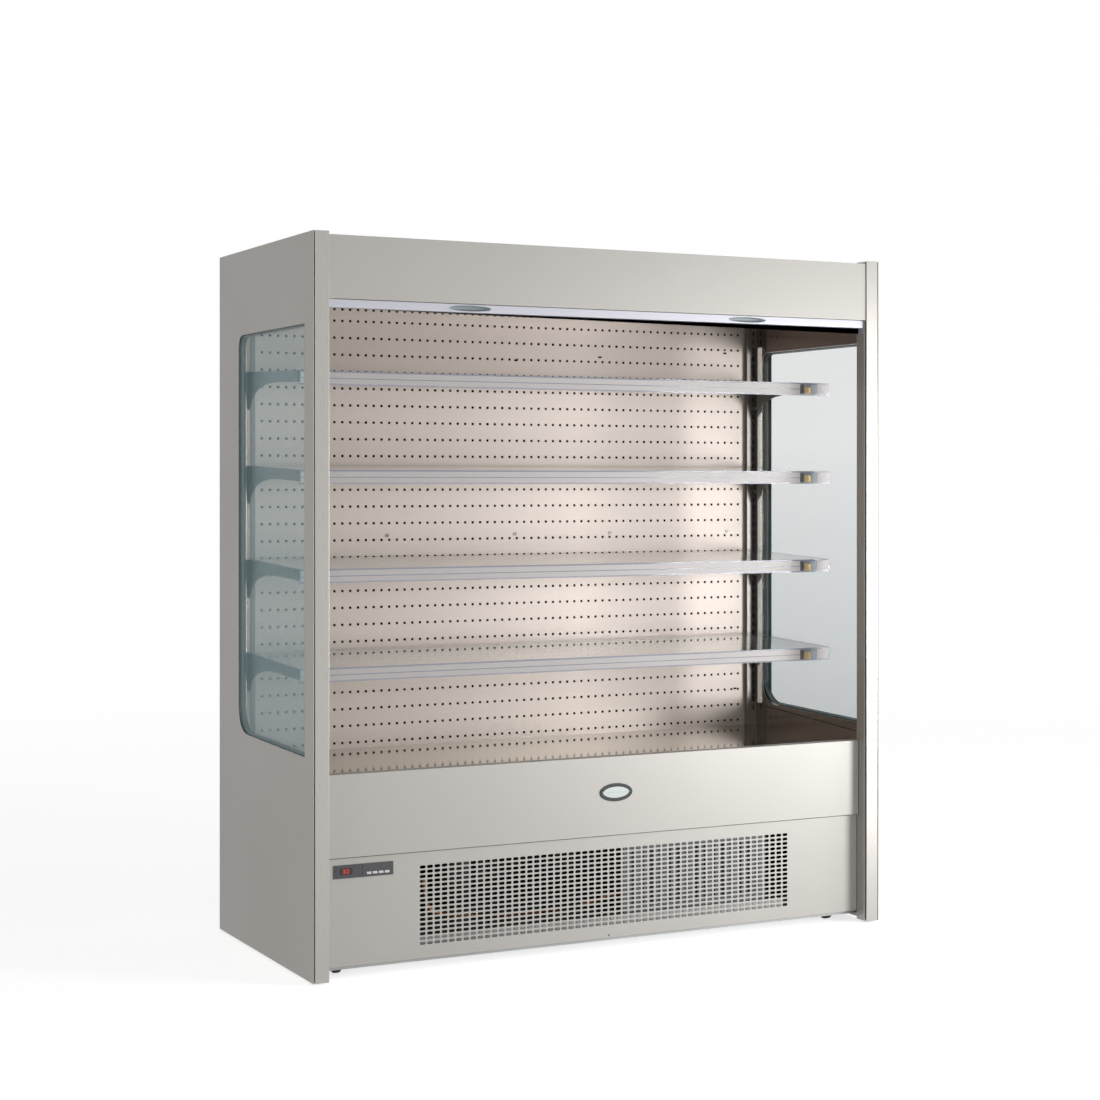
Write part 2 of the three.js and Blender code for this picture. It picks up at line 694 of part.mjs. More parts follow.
// One folded liner: a baffle behind the blind, two ledges for the outlet, and
// the ceiling. Cheeks on the baffle carry the roller's pins.
function canopyLiner() {
  const baffle = FRONT + BAFFLE_RECESS;
  const riser = baffle + OUTLET_DEPTH;
  const top = ROOF_UNDERSIDE - GAP;
  const front = outline([
    [baffle, OUTLET_BOTTOM],
    [baffle + OUTLET_LEDGE, OUTLET_BOTTOM],
    [baffle + OUTLET_LEDGE, OUTLET_BOTTOM + SHEET],
    [baffle + SHEET, OUTLET_BOTTOM + SHEET],
    [baffle + SHEET, top],
    [baffle, top],
  ]);
  const rear = outline([
    [riser - OUTLET_LEDGE, OUTLET_BOTTOM],
    [riser, OUTLET_BOTTOM],
    [riser, CEILING],
    [PANEL_FACE + SHEET, CEILING],
    [PANEL_FACE + SHEET, CEILING + SHEET],
    [riser - SHEET, CEILING + SHEET],
    [riser - SHEET, OUTLET_BOTTOM + SHEET],
    [riser - OUTLET_LEDGE, OUTLET_BOTTOM + SHEET],
  ]);
  const cheek = (sign) =>
    block(
      [sign * CHEEK_INNER, sign * (CHEEK_INNER + CHEEK)],
      [baffle - CHEEK_REACH, baffle + SHEET],
      [ROLLER_Z - CHEEK_DROP, top],
    );
  const strip = (sign) =>
    block(
      [sign * (BETWEEN_WALLS - OUTLET_LEDGE), sign * BETWEEN_WALLS],
      [baffle, riser],
      [OUTLET_BOTTOM, OUTLET_BOTTOM + SHEET],
    );
  return cut(
    join(
      alongX(front, -BETWEEN_WALLS, BETWEEN_WALLS),
      alongX(rear, -BETWEEN_WALLS, BETWEEN_WALLS),
      ...[-1, 1].map(cheek),
      ...[-1, 1].map(strip),
    ),
    barX(ROLLER_PIN_RADIUS + PIN_CLEARANCE, -INNER, INNER, ROLLER_Y, ROLLER_Z),
  );
}

function airOutlet() {
  const half = BETWEEN_WALLS - SHEET;
  const front = FRONT + BAFFLE_RECESS + SHEET + GAP;
  const rear = FRONT + BAFFLE_RECESS + OUTLET_DEPTH - SHEET - GAP;
  const bottom = OUTLET_BOTTOM + SHEET + GAP;
  const pitch = (2 * half) / OUTLET_CELLS;
  const cells = spread(OUTLET_CELLS, 2 * half).map((x) =>
    block(
      [x - (pitch - OUTLET_RIB) / 2, x + (pitch - OUTLET_RIB) / 2],
      [front + OUTLET_LEDGE, rear - OUTLET_LEDGE],
      [bottom - BURIED, bottom + OUTLET_BLOCK + BURIED],
    ),
  );
  return cut(across(half, [front, rear], [bottom, bottom + OUTLET_BLOCK]), ...cells);
}

function blindRoller() {
  const half = CHEEK_INNER - 2 * GAP;
  const reach = POST_INNER - ROLLER_PIN_END_GAP;
  return join(
    barX(ROLLER_RADIUS, -half, half, ROLLER_Y, ROLLER_Z),
    barX(ROLLER_PIN_RADIUS, -reach, reach, ROLLER_Y, ROLLER_Z, ROUND_STEPS / 2),
  );
}

// The pull bar is a channel, open to the rear, with a shoe at each end and two
// finger openings in its face.
function pullBar() {
  const face = FRONT + BAR_RECESS;
  const back = face + BAR_DEPTH;
  const bottom = BAR_TOP - BAR_HEIGHT;
  const section = outline([
    [face, bottom],
    [back, bottom],
    [back, bottom + BAR_WALL],
    [face + BAR_WALL, bottom + BAR_WALL],
    [face + BAR_WALL, BAR_TOP - BAR_WALL],
    [back, BAR_TOP - BAR_WALL],
    [back, BAR_TOP],
    [face, BAR_TOP],
  ]);
  const half = POST_INNER - BAR_END_GAP;
  const shoe = (sign) =>
    block([sign * (half - BAR_SHOE), sign * half], [face, back], [bottom - BAR_SHOE_HANG, BAR_TOP]);
  const grip = (sign) =>
    alongY(
      ellipse(sign * GRIP_X, (bottom + BAR_TOP) / 2, GRIP_LENGTH / 2, GRIP_HEIGHT / 2),
      face - BURIED,
      face + BAR_WALL + BURIED,
    );
  return cut(
    join(alongX(section, -half, half), ...[-1, 1].map(shoe)),
    ...[-1, 1].map(grip),
  );
}

const canopy = new THREE.Group();
fridge.add(canopy);
piece(canopy, "canopy_liner", canopyLiner(), STAINLESS);
piece(canopy, "air_outlet", airOutlet(), ANODISED);
piece(canopy, "blind_roller", blindRoller(), BLIND_CLOTH_FINISH);
piece(
  canopy,
  "blind_cloth",
  across(
    POST_INNER - BLIND_EDGE_GAP,
    [FRONT + BLIND_RECESS, FRONT + BLIND_RECESS + BLIND_CLOTH],
    [BAR_TOP + GAP, ROLLER_Z],
  ),
  BLIND_CLOTH_FINISH,
);
piece(canopy, "blind_pull_bar", pullBar(), WHITE_ALUMINIUM);

// ---------------------------------------------------------------------------
// Front: fascia, badge plate, vented panel and controller
// ---------------------------------------------------------------------------

function upperFascia() {
  const face = FRONT + FASCIA_RECESS;
  const back = face + FASCIA_TOP_FLANGE;
  const section = outline([
    [face, FASCIA_BOTTOM],
    [face + FASCIA_BOTTOM_LIP, FASCIA_BOTTOM],
    [face + FASCIA_BOTTOM_LIP, FASCIA_BOTTOM + SHEET],
    [face + SHEET, FASCIA_BOTTOM + SHEET],
    [face + SHEET, FASCIA_TOP - SHEET],
    [back - SHEET, FASCIA_TOP - SHEET],
    [back - SHEET, TUB_RISER_TOP + GAP],
    [back, TUB_RISER_TOP + GAP],
    [back, FASCIA_TOP],
    [face, FASCIA_TOP],
  ]);
  const half = POST_INNER - FASCIA_SIDE_GAP;
  return alongX(section, -half, half);
}

function badgePlate() {
  const back = FRONT + FASCIA_RECESS - GAP;
  const shape = ellipse(BADGE_OFFSET, BADGE_Z, BADGE_WIDTH / 2, BADGE_TALL / 2);
  return alongY(shape, back - BADGE_THICKNESS, back, ROUND_STEPS / 2);
}

// A panel with flanges folded back on all four sides, the vent slots, and a
// cut-out for the controller.
function ventPanel() {
  const face = FRONT + VENT_RECESS;
  const half = POST_INNER - FASCIA_SIDE_GAP;
  const top = FASCIA_BOTTOM - VENT_TOP_GAP;
  const areaWidth = 2 * POST_INNER - VENT_LEFT_MARGIN - VENT_RIGHT_MARGIN;
  const areaCentre = (VENT_LEFT_MARGIN - VENT_RIGHT_MARGIN) / 2;
  const pitchX = areaWidth / VENT_SLOT_COLUMNS;
  const pitchZ = VENT_AREA_HEIGHT / VENT_SLOT_ROWS;
  const rows = spread(VENT_SLOT_ROWS, VENT_AREA_HEIGHT, VENT_AREA_BOTTOM + VENT_AREA_HEIGHT / 2);
  const columns = spread(VENT_SLOT_COLUMNS, areaWidth, areaCentre);
  const slots = columns.flatMap((x) =>
    rows.map((z) =>
      block(
        [x - (pitchX - VENT_BAR_X) / 2, x + (pitchX - VENT_BAR_X) / 2],
        [face - BURIED, face + SHEET + BURIED],
        [z - (pitchZ - VENT_BAR_Z) / 2, z + (pitchZ - VENT_BAR_Z) / 2],
      ),
    ),
  );
  const cutoutX = CONTROLLER_BODY_WIDTH / 2 + CUTOUT_CLEARANCE;
  const cutoutZ = CONTROLLER_BODY_TALL / 2 + CUTOUT_CLEARANCE;
  return cut(
    across(half, [face, face + VENT_FLANGE], [KICK_HEIGHT, top]),
    across(
      half - SHEET,
      [face + SHEET, face + VENT_FLANGE + BURIED],
      [KICK_HEIGHT + SHEET, top - SHEET],
    ),
    block(
      [CONTROLLER_X - cutoutX, CONTROLLER_X + cutoutX],
      [face - BURIED, face + SHEET + BURIED],
      [CONTROLLER_HEIGHT - cutoutZ, CONTROLLER_HEIGHT + cutoutZ],
    ),
    ...slots,
  );
}

const KEY_Z = CONTROLLER_HEIGHT - KEY_DROP;
const BEZEL_FACE = FRONT + VENT_RECESS - GAP - BEZEL_THICKNESS;
const keyCentres = spread(KEYS, KEYS * KEY_PITCH, CONTROLLER_X + KEY_GROUP_OFFSET);

function controller() {
  const face = FRONT + VENT_RECESS;
  const pocketX = KEY_WIDTH / 2 + KEY_CLEARANCE;
  const pocketZ = KEY_TALL / 2 + KEY_CLEARANCE;
  const pocketDepth = KEY_LENGTH - KEY_PROUD + KEY_TRAVEL + KEY_CLEARANCE;
  const pockets = keyCentres.map((x) =>
    block(
      [x - pocketX, x + pocketX],
      [BEZEL_FACE - BURIED, BEZEL_FACE + pocketDepth],
      [KEY_Z - pocketZ, KEY_Z + pocketZ],
    ),
  );
  return cut(
    join(
      block(
        [CONTROLLER_X - BEZEL_WIDTH / 2, CONTROLLER_X + BEZEL_WIDTH / 2],
        [BEZEL_FACE, BEZEL_FACE + BEZEL_THICKNESS],
        [CONTROLLER_HEIGHT - BEZEL_TALL / 2, CONTROLLER_HEIGHT + BEZEL_TALL / 2],
      ),
      block(
        [
          CONTROLLER_X - CONTROLLER_BODY_WIDTH / 2,
          CONTROLLER_X + CONTROLLER_BODY_WIDTH / 2,
        ],
        [BEZEL_FACE + BEZEL_THICKNESS / 2, face + CONTROLLER_BODY_DEPTH],
        [
          CONTROLLER_HEIGHT - CONTROLLER_BODY_TALL / 2,
          CONTROLLER_HEIGHT + CONTROLLER_BODY_TALL / 2,
        ],
      ),
    ),
    ...pockets,
  );
}

const frontPanels = new THREE.Group();
fridge.add(frontPanels);
piece(frontPanels, "upper_fascia", upperFascia(), PAINTED_PANEL);
piece(frontPanels, "badge_plate", badgePlate(), CHARCOAL);
piece(frontPanels, "vent_panel", ventPanel(), PAINTED_PANEL);
piece(frontPanels, "controller", controller(), CHARCOAL);
keyCentres.forEach((x, i) => {
  const key = block(
    [-KEY_WIDTH / 2, KEY_WIDTH / 2],
    [0, KEY_LENGTH],
    [-KEY_TALL / 2, KEY_TALL / 2],
  );
  const mesh = piece(frontPanels, `controller_key_${i + 1}`, key, PALE_KEY);
  mesh.position.set(x, BEZEL_FACE - KEY_PROUD, KEY_Z);
});

// ---------------------------------------------------------------------------
// Well: insulated tub, return grille, deck, perforated panel and uprights
// ---------------------------------------------------------------------------

function wellTub() {
  const front = FRONT + TUB_RECESS;
  const section = outline([
    [front, TUB_BOTTOM],
    [REAR_WALL_FACE, TUB_BOTTOM],
    [REAR_WALL_FACE, TUB_FLOOR_TOP],
    [front + TUB_RISER, TUB_FLOOR_TOP],
    [front + TUB_RISER, TUB_RISER_TOP],
    [front, TUB_RISER_TOP],
  ]);
  return alongX(section, -BETWEEN_WALLS, BETWEEN_WALLS);
}

// A slotted strip with a short leg on the tub's riser and a long one on its floor.
function returnGrille() {
  const rear = RETURN_FRONT + RETURN_DEPTH;
  const section = outline([
    [RETURN_FRONT, TUB_RISER_TOP + GAP],
    [RETURN_FRONT + SHEET, TUB_RISER_TOP + GAP],
    [RETURN_FRONT + SHEET, DECK_HEIGHT - SHEET],
    [rear - SHEET, DECK_HEIGHT - SHEET],
    [rear - SHEET, IN_TUB],
    [rear, IN_TUB],
    [rear, DECK_HEIGHT],
    [RETURN_FRONT, DECK_HEIGHT],
  ]);
  const pitch = (2 * BETWEEN_WALLS) / RETURN_SLOTS;
  const middle = RETURN_FRONT + RETURN_DEPTH / 2;
  const slots = spread(RETURN_SLOTS, 2 * BETWEEN_WALLS).map((x) =>
    block(
      [x - (pitch - RETURN_RIB) / 2, x + (pitch - RETURN_RIB) / 2],
      [middle - RETURN_SLOT_LENGTH / 2, middle + RETURN_SLOT_LENGTH / 2],
      [DECK_HEIGHT - SHEET - BURIED, DECK_HEIGHT + BURIED],
    ),
  );
  return cut(alongX(section, -BETWEEN_WALLS, BETWEEN_WALLS), ...slots);
}

// The deck is notched round the uprights and stands on four legs.
function deckPlate() {
  const notch = PANEL_HALF - GAP;
  const notchFront = UPRIGHT_FACE - GAP;
  const plan = outline([
    [-BETWEEN_WALLS, DECK_FRONT],
    [BETWEEN_WALLS, DECK_FRONT],
    [BETWEEN_WALLS, notchFront],
    [notch, notchFront],
    [notch, DECK_REAR],
    [-notch, DECK_REAR],
    [-notch, notchFront],
    [-BETWEEN_WALLS, notchFront],
  ]);
  const skirtTop = DECK_HEIGHT - SHEET / 2;
  const skirt = (y0, y1, half) => across(half, [y0, y1], [DECK_HEIGHT - DECK_SKIRT, skirtTop]);
  const legX = BETWEEN_WALLS - DECK_LEG_INSET;
  const legYs = [DECK_FRONT + DECK_LEG_INSET, notchFront - DECK_LEG_INSET];
  const legs = [-legX, legX].flatMap((x) =>
    legYs.map((y) =>
      block(
        [x - DECK_LEG / 2, x + DECK_LEG / 2],
        [y - DECK_LEG / 2, y + DECK_LEG / 2],
        [IN_TUB, skirtTop],
      ),
    ),
  );
  return join(
    alongZ(plan, DECK_HEIGHT - SHEET, DECK_HEIGHT),
    skirt(DECK_FRONT, DECK_FRONT + SHEET, BETWEEN_WALLS),
    skirt(DECK_REAR - SHEET, DECK_REAR, notch),
    ...legs,
  );
}

function perforatedPanel() {
  const flangeRear = PANEL_FACE + PANEL_FLANGE;
  const plan = outline([
    [-PANEL_HALF, PANEL_FACE],
    [PANEL_HALF, PANEL_FACE],
    [PANEL_HALF, flangeRear],
    [PANEL_HALF - SHEET, flangeRear],
    [PANEL_HALF - SHEET, PANEL_FACE + SHEET],
    [-PANEL_HALF + SHEET, PANEL_FACE + SHEET],
    [-PANEL_HALF + SHEET, flangeRear],
    [-PANEL_HALF, flangeRear],
  ]);
  return alongZ(plan, DECK_HEIGHT - DECK_SKIRT, CEILING - GAP);
}

const SLOT_X = BRACKET_OUTER - BRACKET_PLATE / 2;

function upright(sign) {
  const top = CEILING - GAP;
  const slots = [];
  const anchor = SHELF_LOWEST - HOOK_DROP;
  const first = Math.ceil((DECK_HEIGHT + SLOT_BOTTOM_MARGIN - anchor) / SLOT_PITCH);
  const last = Math.floor((top - SLOT_TOP_MARGIN - anchor) / SLOT_PITCH);
  for (let i = first; i <= last; i += 1) {
    const z = anchor + i * SLOT_PITCH;
    slots.push(
      block(
        [sign * SLOT_X - SLOT_WIDE / 2, sign * SLOT_X + SLOT_WIDE / 2],
        [UPRIGHT_FACE - BURIED, UPRIGHT_FACE + SLOT_DEEP],
        [z - SLOT_TALL / 2, z + SLOT_TALL / 2],
      ),
    );
  }
  return cut(
    block(
      [sign * (PANEL_HALF + GAP), sign * BETWEEN_WALLS],
      [UPRIGHT_FACE, UPRIGHT_FACE + UPRIGHT_DEPTH],
      [IN_TUB, top],
    ),
    ...slots,
  );
}

const well = new THREE.Group();
fridge.add(well);
piece(well, "well_tub", wellTub(), GALVANISED);
piece(well, "return_grille", returnGrille(), STAINLESS);
piece(well, "deck_plate", deckPlate(), STAINLESS);
piece(well, "perforated_panel", perforatedPanel(), STAINLESS);
for (const { word, sign } of SIDES) {
  piece(well, `upright_${word}`, upright(sign), STAINLESS);
}

// ---------------------------------------------------------------------------
// Shelves: a welded frame with two brackets, a glass plate and a ticket rail.
// Each shelf's group has its origin at the rail's top front edge.
// ---------------------------------------------------------------------------

const GLASS_UNDERSIDE = -SHELF_GLASS;
const LEDGE_TOP = GLASS_UNDERSIDE - GAP;

function tilted(geometry) {
  return geometry.rotateX(SHELF_TILT);
}

// Bracket outline in Y and Z, level, with its top edge on the shelf's slope.
function bracketOutline() {
  const slope = Math.tan(SHELF_TILT);
  const front = RAIL_DEPTH + GAP;
  const top = (y) => y * slope;
  const under = (y) => y * slope - BRACKET_FRONT;
  const shape = new THREE.Shape();
  shape.moveTo(front, under(front));
  shape.lineTo(front, top(front));
  shape.lineTo(SHELF_DEPTH, top(SHELF_DEPTH));
  shape.lineTo(SHELF_DEPTH, top(SHELF_DEPTH) - BRACKET_REAR);
  shape.quadraticCurveTo(
    SHELF_DEPTH - SHELF_BAR,
    under(SHELF_DEPTH),
    front + BRACKET_ARM,
    under(front + BRACKET_ARM),
  );
  return shape;
}

function shelfFrame() {
  const hookRear = SHELF_DEPTH + SHELF_REAR_GAP + HOOK_BITE;
  const faces = [BRACKET_OUTER - BRACKET_PLATE, BRACKET_OUTER];
  const parts = [];
  for (const { sign } of SIDES) {
    const [x0, x1] = faces.map((x) => sign * x).sort((a, b) => a - b);
    parts.push(alongX(bracketOutline(), x0, x1));
    parts.push(
      tilted(
        block(
          [sign * (BRACKET_OUTER - BRACKET_LEDGE), sign * (BRACKET_OUTER - BRACKET_PLATE / 2)],
          [RAIL_DEPTH + GAP, SHELF_DEPTH - SHELF_BAR / 2],
          [LEDGE_TOP - BRACKET_PLATE, LEDGE_TOP],
        ),
      ),
    );
    for (const drop of [HOOK_DROP, HOOK_DROP + SLOT_PITCH]) {
      parts.push(
        block(
          [x0, x1],
          [SHELF_DEPTH - BURIED, hookRear],
          [-drop - HOOK_TALL / 2, -drop + HOOK_TALL / 2],
        ),
      );
    }
  }
  const barHalf = BRACKET_OUTER - BRACKET_PLATE / 2;
  for (const y of [RAIL_DEPTH + SHELF_BAR_INSET, SHELF_DEPTH - SHELF_BAR - SHELF_BAR_INSET]) {
    parts.push(tilted(across(barHalf, [y, y + SHELF_BAR], [LEDGE_TOP - SHELF_BAR, LEDGE_TOP])));
  }
  return join(...parts);
}

// The clear rail covers the glass's front edge, and has a lip under the glass.
function ticketRail() {
  const section = outline([
    [0, 0],
    [RAIL_PLATE, 0],
    [RAIL_PLATE, LEDGE_TOP],
    [RAIL_LIP, LEDGE_TOP],
    [RAIL_LIP, LEDGE_TOP - RAIL_PLATE],
    [RAIL_PLATE, LEDGE_TOP - RAIL_PLATE],
    [RAIL_PLATE, RAIL_PLATE - RAIL_TALL],
    [RAIL_DEPTH - RAIL_PLATE, RAIL_PLATE - RAIL_TALL],
    [RAIL_DEPTH - RAIL_PLATE, -RAIL_TALL],
    [0, -RAIL_TALL],
  ]);
  return alongX(section, -BRACKET_OUTER, BRACKET_OUTER);
}

for (let i = 0; i < SHELVES; i += 1) {
  const shelf = new THREE.Group();
  const number = SHELVES - i;
  shelf.position.set(0, FRONT + SHELF_RECESS, SHELF_LOWEST + i * SHELF_PITCH);
  fridge.add(shelf);
  piece(shelf, `shelf_${number}_frame`, shelfFrame(), DARK_STEEL);
  const glassHalf = BRACKET_OUTER - BRACKET_PLATE - GAP;
  const glass = across(
    glassHalf,
    [RAIL_PLATE + GAP, SHELF_DEPTH - BURIED],
    [GLASS_UNDERSIDE, 0],
  );
  piece(shelf, `shelf_${number}_glass`, tilted(glass), GLASS);
  piece(shelf, `shelf_${number}_ticket_rail`, tilted(ticketRail()), CLEAR_PLASTIC);
}

// ---------------------------------------------------------------------------
// Base pan with the rigid rear forks, and the castors
// ---------------------------------------------------------------------------

// Two legs and an axle, hanging from a height, about an axle centre.
function forkLegs(x, y, top, headY) {
  const leg = outline([
    [y - 2 * AXLE_RADIUS, WHEEL_RADIUS - 2 * AXLE_RADIUS],
    [y + 2 * AXLE_RADIUS, WHEEL_RADIUS - 2 * AXLE_RADIUS],
    [headY + FORK_HEAD_REACH, top],
    [headY - FORK_HEAD_REACH, top],
  ]);
  return [
    alongX(leg, x - FORK_OUTER, x - FORK_INNER),
    alongX(leg, x + FORK_INNER, x + FORK_OUTER),
    barX(AXLE_RADIUS, x - FORK_OUTER, x + FORK_OUTER, y, WHEEL_RADIUS, ROUND_STEPS / 2),
  ];
}

function basePan() {
  const rear = REAR_WALL_FACE;
  const side = BETWEEN_WALLS;
  const shellBlock = across(side, [BASE_FRONT, rear], [BASE_BOTTOM, PAN_TOP]);
  const hollow = across(
    side - BASE_SHEET,
    [BASE_FRONT + BASE_SHEET, rear - BASE_SHEET],
    [BASE_BOTTOM - BURIED, PAN_HEIGHT],
  );
  const padTop = PAN_HEIGHT + BURIED;
  const pads = [-CASTOR_X, CASTOR_X].map((x) =>
    block(
      [x - CASTOR_PAD / 2, x + CASTOR_PAD / 2],
      [FRONT_CASTOR_Y - CASTOR_PAD / 2, FRONT_CASTOR_Y + CASTOR_PAD / 2],
      [PAN_HEIGHT - CASTOR_PAD_THICKNESS, padTop],
    ),
  );
  const rearForks = [-CASTOR_X, CASTOR_X].flatMap((x) =>
    forkLegs(x, REAR_CASTOR_Y, padTop, REAR_CASTOR_Y),
  );
  return join(cut(shellBlock, hollow), ...pads, ...rearForks);
}

// Swivel fork in its own frame: origin on the floor, under the swivel axis.
function castorFork() {
  const crown = block(
    [-FORK_OUTER, FORK_OUTER],
    [-FORK_HEAD_REACH, FORK_HEAD_REACH],
    [CROWN_TOP - FORK_CROWN, CROWN_TOP + BURIED],
  );
  const ear = (sign) =>
    block(
      [sign * FORK_INNER, sign * FORK_OUTER],
      [PEDAL_PIN_Y - 2 * PEDAL_PIN_RADIUS, 0],
      [PEDAL_PIN_Z - 2 * PEDAL_PIN_RADIUS, PEDAL_PIN_Z + 2 * PEDAL_PIN_RADIUS],
    );
  return join(
    barZ(FORK_HEAD_RADIUS, CROWN_TOP, FORK_TOP, 0, 0),
    crown,
    ...forkLegs(0, -CASTOR_TRAIL, CROWN_TOP - BURIED, 0),
    ...[-1, 1].map(ear),
    barX(PEDAL_PIN_RADIUS, -FORK_OUTER, FORK_OUTER, PEDAL_PIN_Y, PEDAL_PIN_Z, ROUND_STEPS / 2),
  );
}

function wheel() {
  const bore = AXLE_RADIUS + AXLE_CLEARANCE;
  const half = WHEEL_WIDTH / 2;
  const profile = [
    [bore, -half],
    [WHEEL_RADIUS - WHEEL_RIM, -half],
    [WHEEL_RADIUS, WHEEL_RIM - half],
    [WHEEL_RADIUS, half - WHEEL_RIM],
    [WHEEL_RADIUS - WHEEL_RIM, half],
    [bore, half],
    [bore, -half],
  ].map(([r, x]) => new THREE.Vector2(r, x));
  return new THREE.LatheGeometry(profile, ROUND_STEPS).rotateZ(-HALF_TURN);
}

// Brake pedal in the fork's frame: a hub on the pin and a tread in front.
function brakePedal() {
  const half = FORK_INNER - FORK_CLEARANCE / 2;
  const tread = across(half, [-PEDAL_LENGTH, 0], [-PEDAL_PLATE / 2, PEDAL_PLATE / 2]);
  const hub = barX(PEDAL_HUB_RADIUS, -half, half, 0, 0, ROUND_STEPS / 2);
  const bore = barX(PEDAL_PIN_RADIUS + AXLE_CLEARANCE, -INNER, INNER, 0, 0, ROUND_STEPS / 2);
  return cut(join(tread.rotateX(PEDAL_DROP), hub), bore);
}

const base = new THREE.Group();
fridge.add(base);
piece(base, "base_pan", basePan(), GALVANISED);
for (const { word, sign } of SIDES) {
  const castor = new THREE.Group();
  castor.position.set(sign * CASTOR_X, FRONT_CASTOR_Y, 0);
  base.add(castor);
  piece(castor, `castor_fork_${word}`, castorFork(), ZINC);
  const frontWheel = piece(castor, `castor_wheel_front_${word}`, wheel(), WHEEL_RUBBER);
  frontWheel.position.set(0, -CASTOR_TRAIL, WHEEL_RADIUS);
  const pedal = piece(castor, `castor_brake_pedal_${word}`, brakePedal(), BLACK_PLASTIC);
  pedal.position.set(0, PEDAL_PIN_Y, PEDAL_PIN_Z);
  const rearWheel = piece(base, `castor_wheel_rear_${word}`, wheel(), WHEEL_RUBBER);
  rearWheel.position.set(sign * CASTOR_X, REAR_CASTOR_Y, WHEEL_RADIUS);
}

// ---------------------------------------------------------------------------
// Machine room: compressor, condenser, fan, pipework, tray and terminal box
// ---------------------------------------------------------------------------

function compressor() {
  const top = COMPRESSOR_FOOT + COMPRESSOR_TALL;
  const base = COMPRESSOR_RADIUS - COMPRESSOR_BASE_ROUND;
  const profile = [
    [0, COMPRESSOR_FOOT],
    [base, COMPRESSOR_FOOT],
    [COMPRESSOR_RADIUS, COMPRESSOR_FOOT + 2 * COMPRESSOR_BASE_ROUND],
    [COMPRESSOR_RADIUS, top - COMPRESSOR_DOME],
    [COMPRESSOR_RADIUS - COMPRESSOR_DOME / 4, top - COMPRESSOR_DOME / 3],
    [COMPRESSOR_RADIUS - COMPRESSOR_DOME, top],
    [0, top],
  ].map(([r, z]) => new THREE.Vector2(r, z));
  const can = new THREE.LatheGeometry(profile, ROUND_STEPS).rotateX(HALF_TURN);
  return join(
    can,
    across(COMPRESSOR_FOOT_LENGTH / 2, [-base, base], [0, COMPRESSOR_FOOT + BURIED]),
    block(
      [base, COMPRESSOR_RADIUS + COMPRESSOR_TERMINALS],
      [-COMPRESSOR_TERMINALS, COMPRESSOR_TERMINALS],
      [top / 3, (2 * top) / 3],
    ),
  );
}

// Grooves between the fins of a coil block, on its front or rear face.
function finCuts(count, width, [y0, y1], [z0, z1]) {
  return spread(count, width).map((x) =>
    block([x - FIN_GAP / 2, x + FIN_GAP / 2], [y0, y1], [z0, z1]),
  );
}

// Coil block with a fan shroud behind it, origin at the front bottom middle.
function condenser() {
  const half = CONDENSER_WIDTH / 2;
  const inset = 2 * FIN_CUT;
  const coil = cut(
    across(half, [0, CONDENSER_DEPTH], [0, CONDENSER_TALL]),
    ...finCuts(
      CONDENSER_FINS,
      CONDENSER_WIDTH - 2 * inset,
      [-BURIED, FIN_CUT],
      [inset, CONDENSER_TALL - inset],
    ),
  );
  const ringRadius = FAN_RADIUS + FAN_TIP_CLEARANCE;
  const ringOuter = ringRadius + SHROUD_RING_WALL;
  const back = CONDENSER_DEPTH + SHROUD_RING;
  const middle = CONDENSER_TALL / 2;
  const shroud = cut(
    join(
      across(
        half,
        [CONDENSER_DEPTH - SHROUD_PLATE, CONDENSER_DEPTH + SHROUD_PLATE],
        [0, CONDENSER_TALL],
      ),
      barY(ringOuter, CONDENSER_DEPTH, back, 0, middle),
    ),
    barY(ringRadius, CONDENSER_DEPTH, back + BURIED, 0, middle),
  );
  return join(coil, shroud);
}

// A hub with blades, on the Y axis, with a bore for the motor's shaft.
function fanBlade(radius, hubRadius, hubLength) {
  const bladeWidth = (FAN_BLADE_SHARE * hubLength) / Math.sin(FAN_PITCH) / 2;
  const blades = Array.from({ length: FAN_BLADES }, (_, i) => {
    const blade = block(
      [-bladeWidth, bladeWidth],
      [-FAN_BLADE_THICKNESS / 2, FAN_BLADE_THICKNESS / 2],
      [hubRadius / 2, radius],
    );
    const tip = Math.asin(bladeWidth / radius);
    const swept = blade.rotateZ(FAN_PITCH).scale(1, 1, Math.cos(tip));
    return swept.rotateY((2 * Math.PI * i) / FAN_BLADES);
  });
  return cut(
    join(barY(hubRadius, -hubLength / 2, hubLength / 2, 0, 0), ...blades),
    barY(FAN_SHAFT_RADIUS + FAN_SHAFT_CLEARANCE, -hubLength, hubLength, 0, 0, ROUND_STEPS / 2),
  );
}

// Motor on a stand, with a shaft forward to the blades. Its origin is at the
// blades' centre, and height is that centre above the stand's foot.
function fanMotor(height) {
  const face = FAN_HUB_LENGTH / 2 + MOTOR_GAP;
  const rear = face + MOTOR_LENGTH;
  return join(
    barY(MOTOR_RADIUS, face, rear, 0, 0),
    barY(FAN_SHAFT_RADIUS, -FAN_HUB_LENGTH / 2, face + BURIED, 0, 0, ROUND_STEPS / 2),
    across(MOTOR_STAND / 2, [face + MOTOR_GAP, rear - MOTOR_GAP], [-height, 0]),
    across(MOTOR_STAND, [face, rear], [-height, -height + 2 * BASE_SHEET]),
  );
}

function drainTray() {
  return cut(
    across(TRAY_LENGTH / 2, [0, TRAY_DEPTH], [0, TRAY_TALL]),
    across(
      TRAY_LENGTH / 2 - TRAY_WALL,
      [TRAY_WALL, TRAY_DEPTH - TRAY_WALL],
      [TRAY_WALL, TRAY_TALL + BURIED],
    ),
  );
}

